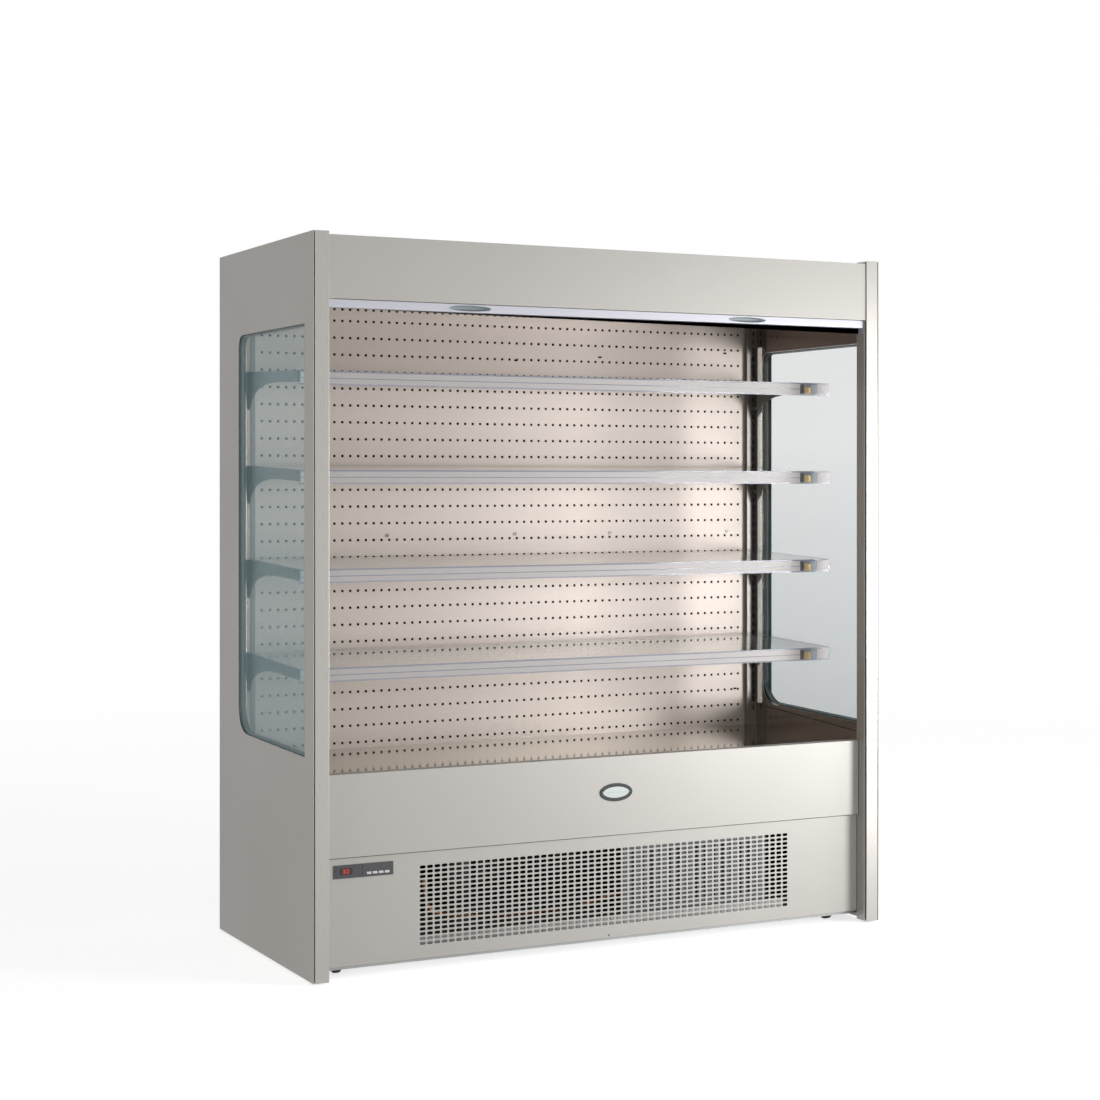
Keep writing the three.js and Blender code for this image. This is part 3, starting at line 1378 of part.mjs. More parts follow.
function electricalBox() {
  const half = BOX_LENGTH / 2;
  return join(
    across(half, [0, BOX_DEPTH], [0, BOX_TALL - BOX_LID]),
    across(half + BOX_LID, [-BOX_LID, BOX_DEPTH + BOX_LID], [BOX_TALL - 2 * BOX_LID, BOX_TALL]),
  );
}

// Copper tube from the compressor's side, forward past the vent slots, and
// along the pan to the condenser.
function pipework() {
  const stubX = COMPRESSOR_X - COMPRESSOR_RADIUS - GAP - PIPE_RADIUS;
  const stubZ = ON_PAN + PIPE_STUB_HEIGHT;
  const endX = CONDENSER_X - CONDENSER_WIDTH / 2 - GAP;
  const runY = FRONT + CONDENSER_RECESS + CONDENSER_DEPTH / 2;
  const endZ = ON_PAN + CONDENSER_TALL / 4;
  const runZ = ON_PAN + PIPE_RUN_HEIGHT;
  const loopX = COMPRESSOR_X - PIPE_LOOP_WIDTH;
  const stubY = FRONT + COMPRESSOR_RECESS;
  const route = new THREE.CatmullRomCurve3([
    new THREE.Vector3(stubX, stubY, stubZ),
    new THREE.Vector3(stubX - PIPE_BEND, stubY - PIPE_BEND, stubZ),
    new THREE.Vector3(loopX, runY, stubZ + PIPE_LOOP_RISE),
    new THREE.Vector3(loopX + PIPE_LOOP_RISE, runY, ON_PAN + PIPE_LOOP_FOOT),
    new THREE.Vector3(COMPRESSOR_X - PIPE_LOOP_FOOT, runY, runZ),
    new THREE.Vector3(endX - PIPE_RISER_START, runY, runZ),
    new THREE.Vector3(endX - PIPE_TAIL, runY, endZ),
    new THREE.Vector3(endX, runY, endZ),
  ]);
  const section = new THREE.Shape();
  section.absarc(0, 0, PIPE_RADIUS, 0, 2 * Math.PI);
  return new THREE.ExtrudeGeometry(section, {
    steps: PIPE_STEPS,
    curveSegments: CURVE_STEPS / 2,
    extrudePath: route,
    bevelEnabled: false,
  });
}

const machineRoom = new THREE.Group();
machineRoom.position.set(0, FRONT, ON_PAN);
fridge.add(machineRoom);
const compressorMesh = piece(machineRoom, "compressor", compressor(), BLACK_ENAMEL);
compressorMesh.position.set(COMPRESSOR_X, COMPRESSOR_RECESS, 0);
const condenserMesh = piece(machineRoom, "condenser", condenser(), FIN_ALUMINIUM);
condenserMesh.position.set(CONDENSER_X, CONDENSER_RECESS, 0);
const fanCentre = new THREE.Vector3(
  CONDENSER_X,
  CONDENSER_RECESS + CONDENSER_DEPTH + SHROUD_RING / 2 + SHROUD_PLATE,
  CONDENSER_TALL / 2,
);
const condenserFan = fanBlade(FAN_RADIUS, FAN_HUB_RADIUS, FAN_HUB_LENGTH);
piece(machineRoom, "condenser_fan_blade", condenserFan, BLACK_PLASTIC).position.copy(fanCentre);
const motor = fanMotor(fanCentre.z);
piece(machineRoom, "condenser_fan_motor", motor, BLACK_ENAMEL).position.copy(fanCentre);
const tray = piece(machineRoom, "drain_tray", drainTray(), BLACK_PLASTIC);
tray.position.set(TRAY_X, TRAY_RECESS, 0);
const terminalBox = piece(machineRoom, "electrical_box", electricalBox(), GALVANISED);
terminalBox.position.set(BOX_X, BOX_RECESS, 0);
piece(fridge, "pipework", pipework(), COPPER);

// ---------------------------------------------------------------------------
// Evaporator in the well, with two fans in front of it
// ---------------------------------------------------------------------------

const COIL_FRONT = PANEL_FACE - COIL_REAR_GAP - COIL_DEPTH;
const COIL_FAN_Z = IN_TUB + COIL_TALL / 2;
const COIL_FAN_Y = COIL_FRONT - COIL_FAN_FORWARD;

function evaporator() {
  const half = COIL_WIDTH / 2;
  const top = IN_TUB + COIL_TALL;
  const inset = 2 * FIN_CUT;
  const coil = cut(
    across(half, [COIL_FRONT, COIL_FRONT + COIL_DEPTH], [IN_TUB, top]),
    ...finCuts(
      COIL_FINS,
      COIL_WIDTH - 2 * inset,
      [COIL_FRONT - BURIED, COIL_FRONT + FIN_CUT],
      [IN_TUB + inset, top - inset],
    ),
  );
  const plateFront = COIL_FAN_Y - COIL_FAN_PLATE / 2;
  const plate = across(half, [plateFront, plateFront + COIL_FAN_PLATE], [IN_TUB, top]);
  const cheek = (sign) =>
    block(
      [sign * (half - COIL_FAN_PLATE), sign * half],
      [plateFront, COIL_FRONT + BURIED],
      [IN_TUB, top],
    );
  const opening = COIL_FAN_RADIUS + FAN_TIP_CLEARANCE;
  const openings = [-COIL_FAN_X, COIL_FAN_X].map((x) =>
    barY(opening, plateFront - BURIED, plateFront + COIL_FAN_PLATE + BURIED, x, COIL_FAN_Z),
  );
  const motorFront = COIL_FAN_Y + COIL_FAN_HUB_LENGTH / 2 + MOTOR_GAP;
  const motors = [-COIL_FAN_X, COIL_FAN_X].flatMap((x) => [
    barY(COIL_MOTOR_RADIUS, motorFront, COIL_FRONT + 2 * FIN_CUT, x, COIL_FAN_Z),
    barY(
      FAN_SHAFT_RADIUS,
      COIL_FAN_Y - COIL_FAN_HUB_LENGTH / 2,
      motorFront + BURIED,
      x,
      COIL_FAN_Z,
      ROUND_STEPS / 2,
    ),
  ]);
  return join(cut(join(coil, plate, ...[-1, 1].map(cheek)), ...openings), ...motors);
}

piece(fridge, "evaporator", evaporator(), FIN_ALUMINIUM);
for (const { word, sign } of SIDES) {
  const blade = fanBlade(COIL_FAN_RADIUS, COIL_FAN_HUB_RADIUS, COIL_FAN_HUB_LENGTH);
  const mesh = piece(fridge, `evaporator_fan_blade_${word}`, blade, BLACK_PLASTIC);
  mesh.position.set(sign * COIL_FAN_X, COIL_FAN_Y, COIL_FAN_Z);
}

export default fridge;
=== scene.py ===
"""Looks of an open multideck display fridge: its pieces, finishes, light and camera.

Every length is in metres, in the part's own frame: X to the right as seen from
the front, Y to the rear, Z up, with the origin on the floor.
"""

from __future__ import annotations

import logging
import math
from contextlib import contextmanager
from dataclasses import dataclass, field
from enum import Enum
from typing import Callable, Iterator

import bmesh
import bpy
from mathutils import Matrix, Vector


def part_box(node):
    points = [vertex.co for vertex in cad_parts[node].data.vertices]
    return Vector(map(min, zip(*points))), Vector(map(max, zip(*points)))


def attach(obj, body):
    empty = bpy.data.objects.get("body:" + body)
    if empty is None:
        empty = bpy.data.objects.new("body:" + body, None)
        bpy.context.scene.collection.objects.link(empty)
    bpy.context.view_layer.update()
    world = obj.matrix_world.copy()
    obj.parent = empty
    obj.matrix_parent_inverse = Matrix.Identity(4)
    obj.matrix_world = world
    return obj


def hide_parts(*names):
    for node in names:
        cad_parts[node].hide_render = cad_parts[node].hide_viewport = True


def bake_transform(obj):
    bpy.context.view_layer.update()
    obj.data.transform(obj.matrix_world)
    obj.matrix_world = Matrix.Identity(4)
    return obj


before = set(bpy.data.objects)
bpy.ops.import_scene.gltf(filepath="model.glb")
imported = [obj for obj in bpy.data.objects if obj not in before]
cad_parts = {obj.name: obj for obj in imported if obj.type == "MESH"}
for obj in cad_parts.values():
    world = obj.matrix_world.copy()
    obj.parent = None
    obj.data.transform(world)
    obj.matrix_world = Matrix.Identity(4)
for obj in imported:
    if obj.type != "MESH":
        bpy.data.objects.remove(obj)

log = logging.getLogger("display_fridge")

Place = tuple[float, float, float]
Span = tuple[float, float]
Colour = tuple[float, float, float]
Input = bpy.types.NodeSocket | float | tuple
Test = Callable[[Vector, Vector], bool]

CABINET = "cabinet"
BLIND = "blind"
SIDES = {"left": -1.0, "right": 1.0}
UPRIGHT_TURN = (math.pi / 2, 0, 0)
WELD = 0.00002


def srgb(text: str) -> Colour:
    """Turns a written colour such as "b9b4ae" into linear light.

    Args:
        text: six hexadecimal digits.

    Returns:
        The red, green and blue as linear values.
    """
    levels = [int(text[i : i + 2], 16) / 255 for i in (0, 2, 4)]
    return tuple(v / 12.92 if v <= 0.04045 else ((v + 0.055) / 1.055) ** 2.4 for v in levels)


def shade(colour: Colour, factor: float) -> Colour:
    """Makes a colour darker or lighter by a factor."""
    return tuple(min(1.0, c * factor) for c in colour)


# ---------------------------------------------------------------------------
# Finishes
# ---------------------------------------------------------------------------


class Grain(Enum):
    """Which way a brushed or drawn surface's fine lines run."""

    NONE = (1.0, 1.0, 1.0)
    ALONG_X = (0.02, 1.0, 1.0)
    ALONG_Y = (1.0, 0.02, 1.0)
    ALONG_Z = (1.0, 1.0, 0.02)


class Graph:
    """The nodes of a material or of the surroundings, with their shader ready to be fed."""

    def __init__(self, owner: bpy.types.Material | bpy.types.World, shader: str = "Principled BSDF") -> None:
        """Turns on the owner's nodes and finds its shader.

        Args:
            owner: the material or the surroundings that the nodes belong to.
            shader: the name of its shader node.
        """
        owner.use_nodes = True
        self.owner = owner
        self.nodes = owner.node_tree.nodes
        self.links = owner.node_tree.links
        self.shader = self.nodes[shader]

    def fix(self, **values: float | tuple[float, ...]) -> None:
        """Sets plain values on the shader's sockets, named with _ for a space."""
        for name, value in values.items():
            self.shader.inputs[name.replace("_", " ")].default_value = value

    def plug(self, socket: bpy.types.NodeSocket, value: Input) -> None:
        """Leads a value into a socket, or sets the number or colour there.

        Args:
            socket: the input socket.
            value: another node's output, a number or a colour.
        """
        if isinstance(value, bpy.types.NodeSocket):
            self.links.new(value, socket)
        else:
            socket.default_value = (*value, 1) if isinstance(value, tuple) else value

    def feed(self, socket: str, value: bpy.types.NodeSocket) -> None:
        """Leads a value into one of the shader's sockets."""
        self.links.new(value, self.shader.inputs[socket])

    def place(self) -> bpy.types.NodeSocket:
        """Adds the object's own coordinates."""
        return self.nodes.new("ShaderNodeTexCoord").outputs["Object"]

    def noise(self, scale: float, stretch: Place = (1, 1, 1), detail: float = 3.0) -> bpy.types.NodeSocket:
        """Adds a noise pattern on the object's own coordinates.

        Args:
            scale: how many features there are in a metre.
            stretch: factors on X, Y and Z; a small one draws the pattern out.
            detail: the number of finer layers.

        Returns:
            The pattern's value socket.
        """
        mapping = self.nodes.new("ShaderNodeMapping")
        mapping.inputs["Scale"].default_value = stretch
        self.links.new(self.place(), mapping.inputs["Vector"])
        texture = self.nodes.new("ShaderNodeTexNoise")
        texture.inputs["Scale"].default_value = scale
        texture.inputs["Detail"].default_value = detail
        self.links.new(mapping.outputs["Vector"], texture.inputs["Vector"])
        return texture.outputs["Fac"]

    def remap(self, value: Input, *limits: float) -> bpy.types.NodeSocket:
        """Maps a value from one range to another.

        Args:
            value: the value to map.
            limits: the first range's two ends, then the second's.

        Returns:
            The mapped value socket.
        """
        node = self.nodes.new("ShaderNodeMapRange")
        for socket, number in zip(("Value", "From Min", "From Max", "To Min", "To Max"), (value, *limits)):
            self.plug(node.inputs[socket], number)
        return node.outputs["Result"]

    def spread(self, value: Input, low: float, high: float) -> bpy.types.NodeSocket:
        """Maps a pattern's middle range to low and high values."""
        return self.remap(value, 0.3, 0.7, low, high)

    def maths(self, operation: str, first: Input, second: Input) -> bpy.types.NodeSocket:
        """Works out two values with a Math node.

        Args:
            operation: the node's operation, such as ADD.
            first: its first value.
            second: its second value.

        Returns:
            The result's socket.
        """
        node = self.nodes.new("ShaderNodeMath")
        node.operation = operation
        self.plug(node.inputs[0], first)
        self.plug(node.inputs[1], second)
        return node.outputs[0]

    def blend(self, value: Input, first: Input, second: Input) -> bpy.types.NodeSocket:
        """Mixes two colours by a pattern.

        Args:
            value: 0 where the first colour shows, 1 where the second does.
            first: the first colour.
            second: the second colour.

        Returns:
            The mixed colour's socket.
        """
        node = self.nodes.new("ShaderNodeMix")
        node.data_type = "RGBA"
        sockets = (node.inputs["Factor"], node.inputs[6], node.inputs[7])
        for socket, part in zip(sockets, (value, first, second)):
            self.plug(socket, part)
        return node.outputs[2]

    def vary(self, pattern: Input, colour: str, contrast: float, roughness: float, change: float) -> None:
        """Lets a pattern vary the colour and the roughness a little.

        Args:
            pattern: the value that varies them.
            colour: the middle colour, as written.
            contrast: the share by which the colour gets darker and lighter.
            roughness: the middle roughness.
            change: the share by which the roughness goes down and up.
        """
        base = srgb(colour)
        tone = self.spread(pattern, 0.0, 1.0)
        self.feed("Base Color", self.blend(tone, shade(base, 1 - contrast), shade(base, 1 + contrast)))
        self.feed("Roughness", self.spread(pattern, roughness * (1 - change), roughness * (1 + change)))

    def emboss(self, value: bpy.types.NodeSocket, height: float, strength: float = 0.3) -> None:
        """Adds a fine relief to the surface.

        Args:
            value: the pattern that gives the height.
            height: its full height in metres.
            strength: how strongly it shows.
        """
        node = self.nodes.new("ShaderNodeBump")
        node.inputs["Distance"].default_value = height
        node.inputs["Strength"].default_value = strength
        self.links.new(value, node.inputs["Height"])
        self.feed("Normal", node.outputs["Normal"])

    def seen(self) -> bpy.types.NodeSocket:
        """Tells where the camera, a mirror or glass sees the surface.

        Returns:
            A value socket that is 1 there.
        """
        path = self.nodes.new("ShaderNodeLightPath")
        total = path.outputs["Is Camera Ray"]
        for name in ("Is Glossy Ray", "Is Transmission Ray"):
            total = self.maths("MAXIMUM", total, path.outputs[name])
        return total


@dataclass(frozen=True)
class Metal:
    """A sheet or drawn metal, bare or painted, with its grain and handling marks."""

    name: str
    colour: str
    metallic: float
    roughness: float
    grain: Grain = Grain.NONE
    contrast: float = 0.04
    relief: float = 0.00002
    lines: float = 900.0
    marks: float = 3.0
    line_share: float = 0.45

    def make(self) -> bpy.types.Material:
        """Builds the material.

        Returns:
            The material.
        """
        graph = Graph(bpy.data.materials.new(self.name))
        lines = graph.noise(self.lines, self.grain.value, 2.0)
        marks = graph.noise(self.marks, self.grain.value, 4.0)
        line_part = graph.maths("MULTIPLY", lines, self.line_share)
        mark_part = graph.maths("MULTIPLY", marks, 1 - self.line_share)
        graph.vary(graph.maths("ADD", line_part, mark_part), self.colour, self.contrast, self.roughness, 0.12)
        graph.emboss(lines, self.relief, 0.25)
        graph.fix(Metallic=self.metallic)
        return graph.owner


@dataclass(frozen=True)
class Plastic:
    """Moulded plastic, rubber or paint with a fine mould grain."""

    name: str
    colour: str
    roughness: float
    grain_size: float = 0.0008
    contrast: float = 0.05
    marks: float = 25.0
    relief: float = 0.00005

    def make(self) -> bpy.types.Material:
        """Builds the material.

        Returns:
            The material.
        """
        graph = Graph(bpy.data.materials.new(self.name))
        graph.vary(graph.noise(self.marks, detail=4.0), self.colour, self.contrast, self.roughness, 0.1)
        graph.emboss(graph.noise(1 / self.grain_size, detail=2.0), self.relief)
        return graph.owner


@dataclass(frozen=True)
class Glass:
    """Clear or tinted glass or clear plastic, which shows more or less at each face."""

    name: str
    tint: str
    show: float
    roughness: float = 0.03
    mist: float = 0.0
    shadow: float = 0.2
    gloss: float = 0.0
    mirror: str = "ffffff"
    misty_heights: Span = (0.60, 1.45)
    face_on: float = 0.04

    def make(self) -> bpy.types.Material:
        """Builds the material.

        Mist is how much more shows low down, near the cold deck, shadow is the
        share of what shows that lamps see, gloss is how far the face mirrors
        when it is seen edge on, face_on is the share of that which is left when
        it is seen straight on, and mirror is the colour of that reflection.

        Returns:
            The material.
        """
        graph = Graph(bpy.data.materials.new(self.name))
        base = srgb(self.tint)
        smear = graph.spread(graph.noise(4.0), 0, 1)
        graph.feed("Roughness", graph.spread(smear, self.roughness * 0.6, self.roughness * 1.4))
        graph.fix(IOR=1.45)
        edge_on = graph.nodes.new("ShaderNodeLayerWeight").outputs["Facing"]
        falloff = graph.maths("POWER", edge_on, 5.0)
        mirrored = graph.remap(falloff, 0.0, 1.0, self.face_on * self.gloss, self.gloss)
        height = graph.nodes.new("ShaderNodeSeparateXYZ")
        graph.links.new(graph.place(), height.inputs[0])
        level = graph.remap(height.outputs["Z"], *self.misty_heights, self.show + self.mist, self.show)
        path = graph.nodes.new("ShaderNodeLightPath")
        unlit = graph.remap(path.outputs["Is Shadow Ray"], 0.0, 1.0, 1.0, self.shadow)
        total = graph.maths("ADD", level, mirrored)
        share = graph.maths("DIVIDE", mirrored, total)
        graph.feed("Metallic", share)
        tinted = graph.blend(smear, shade(base, 0.95), base)
        graph.feed("Base Color", graph.blend(share, tinted, srgb(self.mirror)))
        graph.feed("Alpha", graph.maths("MULTIPLY", total, unlit))
        return graph.owner


@dataclass(frozen=True)
class Woven:
    """A plain woven blind cloth."""

    name: str
    colour: str
    thread: float = 0.0011
    band: float = 0.314
    relief: float = 0.0002

    def make(self) -> bpy.types.Material:
        """Builds the material, where band is the width of a wave's band at a scale of 1.

        Returns:
            The material.
        """
        graph = Graph(bpy.data.materials.new(self.name))
        base = srgb(self.colour)
        waves = []
        for direction in ("X", "Z"):
            wave = graph.nodes.new("ShaderNodeTexWave")
            wave.bands_direction = direction
            wave.inputs["Scale"].default_value = self.band / self.thread
            wave.inputs["Distortion"].default_value = 0.4
            graph.links.new(graph.place(), wave.inputs["Vector"])
            waves.append(wave.outputs["Fac"])
        weave = graph.maths("MULTIPLY", *waves)
        graph.feed("Base Color", graph.blend(weave, shade(base, 0.86), base))
        graph.emboss(weave, self.relief, 0.5)
        graph.fix(Roughness=0.85, Sheen_Weight=0.2)
        return graph.owner


@dataclass(frozen=True)
class Lit:
    """A lit display segment."""

    name: str
    colour: str
    strength: float
    specks: float = 2500.0

    def make(self) -> bpy.types.Material:
        """Builds the material.

        Returns:
            The material.
        """
        graph = Graph(bpy.data.materials.new(self.name))
        base = srgb(self.colour)
        speck = graph.spread(graph.noise(self.specks), 0.0, 1.0)
        colour = graph.blend(speck, shade(base, 0.85), base)
        graph.feed("Base Color", colour)
        graph.feed("Emission Color", colour)
        graph.fix(Emission_Strength=self.strength, Roughness=0.4)
        return graph.owner


class Palette:
    """Every finish of the cabinet, each made once."""

    def __init__(self) -> None:
        """Builds the materials."""
        self.panel = Metal("painted_panel", "b9b6b1", 0.25, 0.42, Grain.NONE, 0.012, 0.00001).make()
        self.side = Metal("side_panel", "bab5b0", 0.2, 0.45, Grain.NONE, 0.012, 0.00001).make()
        self.post = Metal("post_anodised", "b2afaa", 0.7, 0.3, Grain.ALONG_Z, 0.012, 0.0).make()
        # Stainless liner, its colour darkened to paint the shade inside the end walls and on the window
        # reveals.
        self.liner = Metal("inner_liner_painted_shade", "857b74", 1.0, 0.13, Grain.ALONG_Y, 0.03, 0.000004).make()
        self.bright = Metal("bright_strip", "f4f0ea", 1.0, 0.25, Grain.ALONG_Z, 0.02, 0.0).make()
        self.spacer = Metal("window_spacer", "57534f", 0.3, 0.5, Grain.NONE, 0.03, 0.000004).make()
        self.backing = Metal("back_screen_steel", "c1b6ae", 0.25, 0.42, Grain.ALONG_X, 0.03, 0.00001).make()
        self.deck = Metal("deck_steel", "aeaa9d", 1.0, 0.07, Grain.ALONG_X, 0.02, 0.000004).make()
        self.upright = Metal("upright_steel", "7d7873", 0.6, 0.35, Grain.ALONG_Z, 0.04, 0.00001).make()
        self.ceiling = Metal("ceiling_steel", "c8c0b8", 1.0, 0.07, Grain.ALONG_X, 0.015, 0.000002).make()
        self.galvanised = Metal("galvanised", "9c9d9c", 0.8, 0.45, Grain.NONE, 0.16).make()
        self.rear = Metal("rear_sheet", "a9aaa8", 0.6, 0.5, Grain.NONE, 0.06).make()
        self.shelf = Metal("shelf_steel", "6a6762", 0.35, 0.4, Grain.NONE, 0.06, 0.00004).make()
        self.bar = Metal("blind_bar_white", "cfcfd8", 0.3, 0.3, Grain.ALONG_X, 0.015).make()
        self.zinc = Metal("zinc_plate", "8d9093", 0.9, 0.35, Grain.NONE, 0.12).make()
        self.screw = Metal("screw_steel", "77746f", 0.9, 0.35, Grain.NONE, 0.1).make()
        self.fins = Metal("fin_aluminium", "6c6f72", 0.9, 0.4, Grain.ALONG_Z, 0.15).make()
        self.copper = Metal("copper_pipe", "7d543a", 0.95, 0.28, Grain.NONE, 0.15).make()
        # Warm brass colour for a small block at each rail's right end: a painted glint.
        self.painted_glint = Metal("painted_glint_brass", "d8bd8a", 0.7, 0.3, Grain.NONE, 0.05).make()
        self.enamel = Metal("black_enamel", "1c1d1f", 0.1, 0.35, Grain.NONE, 0.1, 0.00004).make()
        # Near-black painted shade: for the keyholes, the duct behind the back screen and the insides of the
        # uprights.
        self.hollow_shade = Plastic("painted_hollow_shade", "0d0d0f", 0.95).make()
        self.charcoal = Plastic("charcoal_plastic", "4a4a4e", 0.45).make()
        self.rim = Plastic("badge_rim", "222329", 0.35).make()
        self.blank = Plastic("badge_blank", "dfe9e5", 0.3, 0.002, 0.02).make()
        self.key = Plastic("key_white", "e6e6e4", 0.45).make()
        self.black = Plastic("black_plastic", "26272a", 0.5).make()
        self.tyre = Plastic("wheel_rubber", "2d2e30", 0.75, 0.0005, 0.12).make()
        self.sealant = Plastic("sealant", "2f3a39", 0.4).make()
        self.strip = Plastic("ticket_strip", "c1bcbb", 0.4, 0.003, 0.015).make()
        self.scoop = Plastic("grip_grey", "9ba5a9", 0.35).make()
        self.smoked = Glass("smoked_block", "6f6c69", 0.8, 0.1).make()
        self.pane = Glass("window_glass", "4a8a94", 0.05, 0.03, 0.09, gloss=0.35, mirror="c0e4ea").make()
        self.shelf_glass = Glass("shelf_glass", "c8d6d2", 0.12, 0.012, gloss=1.0).make()
        self.glass_edge = Glass("glass_edge", "2f5f5c", 0.7, 0.12).make()
        self.clear = Glass("clear_rail", "b9bbc9", 0.55, 0.08).make()
        self.window = Plastic("display_window", "3d1f1f", 0.15).make()
        self.digit = Lit("display_digit", "e0402a", 1.2).make()
        self.cloth = Woven("blind_cloth", "d9d9d6").make()


# ---------------------------------------------------------------------------
# The workbench: modelling steps shared by all pieces
# ---------------------------------------------------------------------------


def clear_selection() -> None:
    """Deselects every object."""
    for other in bpy.context.selected_objects:
        other.select_set(False)


def focus(piece: bpy.types.Object) -> None:
    """Makes a piece the only selected and active object.

    Args:
        piece: the object.
    """
    clear_selection()
    piece.select_set(True)
    bpy.context.view_layer.objects.active = piece


@contextmanager
def editing(piece: bpy.types.Object, elements: str = "VERT", select: str = "DESELECT") -> Iterator[None]:
    """Opens a piece in edit mode.

    Args:
        piece: the mesh object.
        elements: VERT, EDGE or FACE, the kind that is selected.
        select: SELECT to start with everything, DESELECT with nothing.
    """
    focus(piece)
    bpy.ops.object.mode_set(mode="EDIT")
    bpy.ops.mesh.select_mode(type=elements)
    bpy.ops.mesh.select_all(action=select)
    yield
    bpy.ops.object.mode_set(mode="OBJECT")


def pick(piece: bpy.types.Object, choose: Callable[[bmesh.types.BMesh], list]) -> None:
    """Selects only what a function takes out of the mesh, in edit mode.

    Args:
        piece: the object in edit mode.
        choose: takes the mesh and gives back the elements to select.
    """
    mesh = bmesh.from_edit_mesh(piece.data)
    bpy.ops.mesh.select_all(action="DESELECT")
    for element in choose(mesh):
        element.select_set(True)
    bmesh.update_edit_mesh(piece.data)


def pick_faces(piece: bpy.types.Object, test: Test) -> None:
    """Selects the faces whose middle and normal pass a test, in edit mode."""
    pick(piece, lambda mesh: [f for f in mesh.faces if test(f.calc_center_median(), f.normal)])


def pick_corners(piece: bpy.types.Object, test: Callable[[Vector], bool]) -> None:
    """Selects the vertices whose place passes a test, in edit mode."""
    pick(piece, lambda mesh: [v for v in mesh.verts if test(v.co)])


def pick_border(piece: bpy.types.Object, test: Test) -> None:
    """Selects the open edges whose middle and direction pass a test, in edit mode.

    Args:
        piece: the object in edit mode.
        test: takes an edge's middle and its direction, of length one.
    """

    def choose(mesh: bmesh.types.BMesh) -> list[bmesh.types.BMEdge]:
        """Lists the open edges that pass."""
        ends = [(edge, edge.verts[0].co, edge.verts[1].co) for edge in mesh.edges if edge.is_boundary]
        return [edge for edge, a, b in ends if test((a + b) / 2, (b - a).normalized())]

    pick(piece, choose)


def move_corners(piece: bpy.types.Object, test: Callable[[Vector], bool], shift: Place) -> None:
    """Moves the vertices whose place passes a test.

    Args:
        piece: the piece.
        test: takes a vertex's place.
        shift: how far they move.
    """
    with editing(piece):
        pick_corners(piece, test)
        bpy.ops.transform.translate(value=shift)


def settle(piece: bpy.types.Object) -> None:
    """Puts the piece's place, turn and size into its mesh."""
    focus(piece)
    bpy.ops.object.transform_apply(location=True, rotation=True, scale=True)


def take(name: str, scale: Place = (1, 1, 1)) -> bpy.types.Object:
    """Names the primitive that was just added, gives it a size and settles it.

    Args:
        name: the piece's name.
        scale: factors on the primitive's own X, Y and Z.

    Returns:
        The piece.
    """
    piece = bpy.context.object
    piece.name = piece.data.name = name
    piece.scale = [size * factor for size, factor in zip(piece.scale, scale)]
    settle(piece)
    return piece


def modify(piece: bpy.types.Object, kind: str, **settings: object) -> None:
    """Adds a modifier with its settings and applies it.

    Args:
        piece: the piece.
        kind: the modifier's type, such as BEVEL.
        settings: its settings by name.
    """
    focus(piece)
    modifier = piece.modifiers.new(kind.lower(), kind)
    for name, value in settings.items():
        setattr(modifier, name, value)
    bpy.ops.object.modifier_apply(modifier=modifier.name)


def repeat(piece: bpy.types.Object, count: int, step: Place, weld: float = 0.0) -> None:
    """Repeats a piece's mesh in equal steps, and welds the copies where they meet.

    Args:
        piece: the piece.
        count: how many there are in all.
        step: the way from one to the next.
        weld: how near corners have to be to be welded, or 0 for no welding.
    """
    modify(
        piece, "ARRAY", count=count, use_relative_offset=False, use_constant_offset=True,
        constant_offset_displace=step, use_merge_vertices=weld > 0, merge_threshold=weld,
    )


def cut(piece: bpy.types.Object, cutter: bpy.types.Object) -> None:
    """Cuts a block out of a piece and takes the block away."""
    modify(piece, "BOOLEAN", object=cutter, operation="DIFFERENCE", solver="EXACT")
    bpy.data.objects.remove(cutter)


def smooth(piece: bpy.types.Object, degrees: float = 35.0) -> None:
    """Smooths the shading across edges flatter than an angle, and keeps wide faces flat.

    Args:
        piece: the piece.
        degrees: the angle.
    """
    focus(piece)
    bpy.ops.object.shade_smooth_by_angle(angle=math.radians(degrees))
    modify(piece, "WEIGHTED_NORMAL", keep_sharp=True)


def face_outward(piece: bpy.types.Object) -> None:
    """Makes an open sheet's normals agree and face the front.

    Args:
        piece: the sheet, in edit mode.
    """
    bpy.ops.mesh.select_all(action="SELECT")
    bpy.ops.mesh.normals_make_consistent(inside=False)
    faces = bmesh.from_edit_mesh(piece.data).faces
    if sum(f.normal.y * f.calc_area() for f in faces) > 0:
        bpy.ops.mesh.flip_normals()


def block(name: str, low: Place, high: Place, bevel: float = 0.0, segments: int = 2) -> bpy.types.Object:
    """Makes a block between two corners, with its edges rounded.

    Args:
        name: the piece's name.
        low: its lowest corner.
        high: its highest corner.
        bevel: the width of the rounding.
        segments: how many faces round each edge has.

    Returns:
        The piece.
    """
    clear_selection()
    middle = [(a + b) / 2 for a, b in zip(low, high)]
    size = [b - a for a, b in zip(low, high)]
    bpy.ops.mesh.primitive_cube_add(size=1, location=middle, scale=size)
    piece = take(name)
    if bevel:
        with editing(piece, "EDGE", "SELECT"):
            bpy.ops.mesh.bevel(offset=bevel, segments=segments, affect="EDGES", clamp_overlap=True)
        smooth(piece)
    return piece


def join(name: str, *pieces: bpy.types.Object) -> bpy.types.Object:
    """Joins pieces into the first and names it.

    Args:
        name: the name of the whole.
        pieces: the pieces.

    Returns:
        The joined piece.
    """
    focus(pieces[0])
    for other in pieces[1:]:
        other.select_set(True)
    bpy.ops.object.join()
    piece = bpy.context.object
    piece.name = piece.data.name = name
    return piece


def copy_at(piece: bpy.types.Object, offset: Place) -> bpy.types.Object:
    """Copies a piece with a mesh of its own, moved by an offset that goes into the mesh.

    Args:
        piece: the piece.
        offset: from the piece to its copy.

    Returns:
        The copy.
    """
    focus(piece)
    bpy.ops.object.duplicate()
    made = bpy.context.object
    made.location = offset
    settle(made)
    return made


